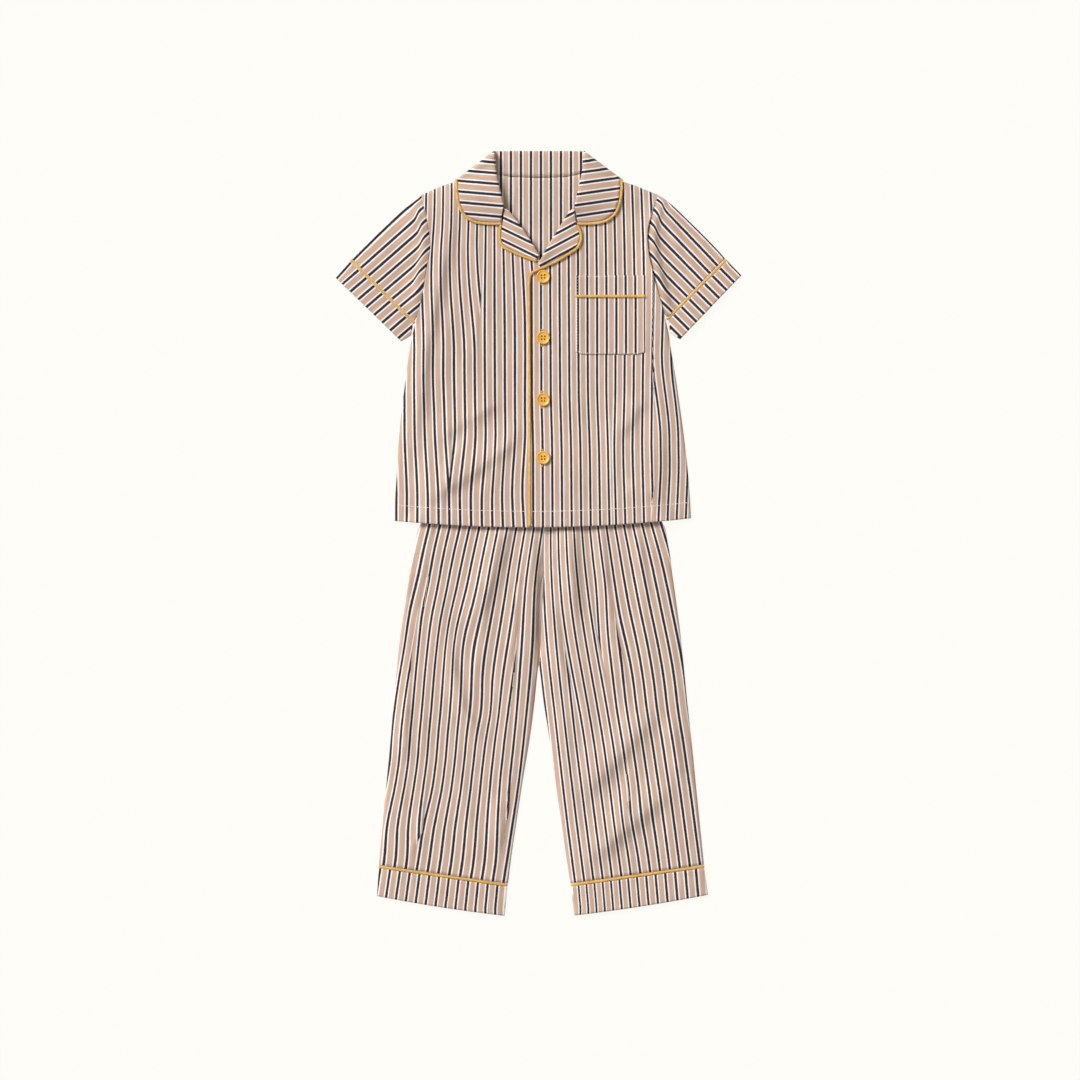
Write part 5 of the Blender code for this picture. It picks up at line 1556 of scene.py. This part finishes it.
def buttonhole(number, height):
    """The worked buttonhole under a button; its ends show above and below it."""
    half, count = BUTTONHOLE_HALF, BUTTONHOLE_STITCHES

    def cord(from_x, to_x, y, rise, thick, high, sides):
        plan = pair(np.linspace(from_x, to_x, len(rise)), y)
        return cord_mesh(raised(plan, front_top("left", plan) + rise), None, thick, high, sides)

    parts = [cord(BUTTONHOLE_X + side * 0.25, BUTTONHOLE_X + side * (0.25 + BUTTONHOLE_WIDE),
                  height - half + 2 * half * share, np.array((0.05, 0.35, 0.35, 0.05)), 0.5, 0.42, 5)
             for side in (-1.0, 1.0) for share in (np.arange(count) + 0.5) / count]
    parts += [cord(BUTTONHOLE_X - 1.4, BUTTON_X, height + end * (half + 0.3), np.full(5, 0.25), 0.9, 0.6, 6)
              for end in (-1.0, 1.0)]
    dress(mesh_piece(f"buttonhole_{number}", *merged(parts), "thread_mustard"), None)


def hem_stitches(side):
    """The white line of stitches that holds the hem, broken at the closure."""
    line = hem_line(*HEM_STITCH_ENDS[side], shares(120)) + np.array((0.0, HEM_DEPTH))
    stitches(f"hem_stitches_{side}", line, partial(front_top, side), length=2.9, gap=0.8)


# --- Trousers ---------------------------------------------------------------------------------

def leg_plan(side, rows, columns, is_back):
    """Plan points of a leg panel, from its piping up to the waist."""
    cut = offset_up(LEG_ENDS[side]["piping"], PIPE_SEAM)
    drop = cut[0][1] - cut[1][1]
    plan = [along(cut, shares(columns + 1))]
    for height in np.linspace(cut[0][1] + 4.0, WAIST_SEAM - 0.3, rows):
        lower = height - drop * smooth((SLANT_START - height) / (SLANT_START - cut[0][1]))
        outer, inner = (look_up(TROUSER_EDGES, at, column)
                        for at, column in zip((height, lower), LEG_COLUMNS[side]))
        if is_back and lower > BACK_SEAM_END:
            inner = look_up(BACK_SEAM, lower) + SIGN[side] * GAP / 2
        plan.append(along([(outer, height), (inner, lower)], shares(columns + 1)))
    return np.array(plan)


def leg_panels(side):
    """A leg's back, flat on the ground, and its front turned down to it at the folds."""
    panel = f"trousers_front_{side}"
    back = leg_plan(side, 96, 34, True)
    heights = CLOTH + 0.1 * (1 + np.sin(back[..., 0] * 0.11))
    grid_sheet(f"trousers_back_{side}", back, heights, panel_stripes(panel, back))
    plan = leg_plan(side, 230, 88, False)
    heights = trousers_top(plan, panel) - edge_drop(plan, TROUSER_FOLD_LINES)
    grid_sheet(panel, plan, heights, panel_stripes(panel, plan))


def leg_cuff(side):
    """The band at the ankle with its piping."""
    ends = {key: np.array(value) for key, value in LEG_ENDS[side].items()}
    start = offset_up(ends["piping"], -PIPE_SEAM)
    sag = LEG_HEM_SAG * np.sin(pi * shares(81))
    plan = np.array([along(start + share * (ends["hem"] - start), shares(81))
                     - share * pair(0.0, sag) for share in shares(15)])
    tube_sheet(f"leg_cuff_{side}", plan, trousers_top, partial(panel_stripes, f"leg_cuff_{side}"),
               BAND_CLOTH)
    piping_ring(f"leg_piping_{side}", ends["piping"], trousers_top, 60)


def waistband():
    """The gathered casing of the elastic."""
    low, high = WAISTBAND_EDGES

    def phase(points):
        return 2 * pi * WAISTBAND_GATHERS * (points[..., 0] - low) / (high - low)

    def top(points):
        return WAISTBAND_HEIGHT + WAISTBAND_WAVE * (1 + np.cos(phase(points)))

    def stripes(points):
        places = panel_stripes("shirt_back", points)
        places[..., 0] += 0.08 * np.sin(phase(points))
        return places

    plan = np.array([along([(low, y), (high, y)], shares(161))
                     for y in np.linspace(WAIST_SEAM, WAISTBAND_TOP, 8)])
    tube_sheet("waistband", plan, top, stripes, WAISTBAND_CLOTH)


# --- Light, floor and camera ------------------------------------------------------------------

FLOOR_COLOUR = (0.060, 0.060, 0.060, 1.0)
FLOOR_GRAIN = (0.058, 0.058, 0.058, 1.0)
FLOOR_GLOW = (1.0, 0.991, 0.946, 1.0)
FLOOR_GLOW_STRENGTH = 0.93
FLOOR_HALF = 8000.0
VIEW_WIDTH = 1252.8            # how much of the floor the picture is wide
VIEW_CENTRE = (1.9, -7.4)
CAMERA_HEIGHT = 6000.0


def floor():
    """A plain pale floor under everything."""
    points = [(x * FLOOR_HALF, y * FLOOR_HALF, -0.4) for x, y in ((-1, -1), (1, -1), (1, 1), (-1, 1))]
    made = Nodes("pale_floor", 0.9, specular=0.0)
    made.colour(made.mix(made.ramp(made.noise(30.0, 4.0), 0.3, 0.7), FLOOR_COLOUR, FLOOR_GRAIN))
    made.shade(**{"Emission Color": FLOOR_GLOW, "Emission Strength": FLOOR_GLOW_STRENGTH})
    FINISHES["floor"] = made.material
    mesh_piece("floor", points, [[0, 1, 2, 3]], np.zeros((4, 2)), "floor")


def sun(name, towards, angle, strength, tint):
    """Even light from one direction, as soft as a panel of that angle."""
    light = bpy.data.lights.new(name, 'SUN')
    light.angle = radians(angle)
    light.energy = strength
    light.color = tint
    placed(name, light).rotation_euler = Vector(towards).to_track_quat('Z', 'Y').to_euler()


def studio():
    """Soft light from the upper left, a weak fill, and an even sky."""
    sun("key", (-0.66, 0.52, 0.72), 24.0, 3.32, (1.0, 0.992, 0.98))
    sun("fill", (0.7, -0.35, 1.0), 60.0, 0.30, (0.97, 0.985, 1.0))
    world = bpy.data.worlds.new("studio")
    world.use_nodes = True
    sky = world.node_tree.nodes["Background"].inputs
    sky["Color"].default_value = (1.0, 0.94, 0.87, 1.0)
    sky["Strength"].default_value = 0.24
    scene = bpy.context.scene
    scene.world = world
    scene.view_settings.view_transform = 'Standard'
    scene.view_settings.look = 'None'


def camera():
    """Straight down on the set, from far enough away to keep its proportions."""
    lens = bpy.data.cameras.new("camera")
    lens.sensor_width = 36.0
    lens.lens = 36.0 * CAMERA_HEIGHT / VIEW_WIDTH
    lens.clip_end = 100.0
    made = placed("camera", lens)
    made.location = (VIEW_CENTRE[0] * MM, VIEW_CENTRE[1] * MM, CAMERA_HEIGHT * MM)
    bpy.context.scene.camera = made


# --- The whole set ----------------------------------------------------------------------------

def build():
    """Dress the whole set."""
    waistband()
    for side in SIDES:
        leg_panels(side)
        leg_cuff(side)
    shirt_back()
    for side in SIDES:
        front(side)
        sleeve(side)
        sleeve_cuff(side)
        lapel(side)
    collar()
    pocket()
    for side in SIDES:
        hem_stitches(side)
    for number, height in enumerate(BUTTON_HEIGHTS, start=1):
        button(number, height)
    floor()
    studio()
    camera()


build()
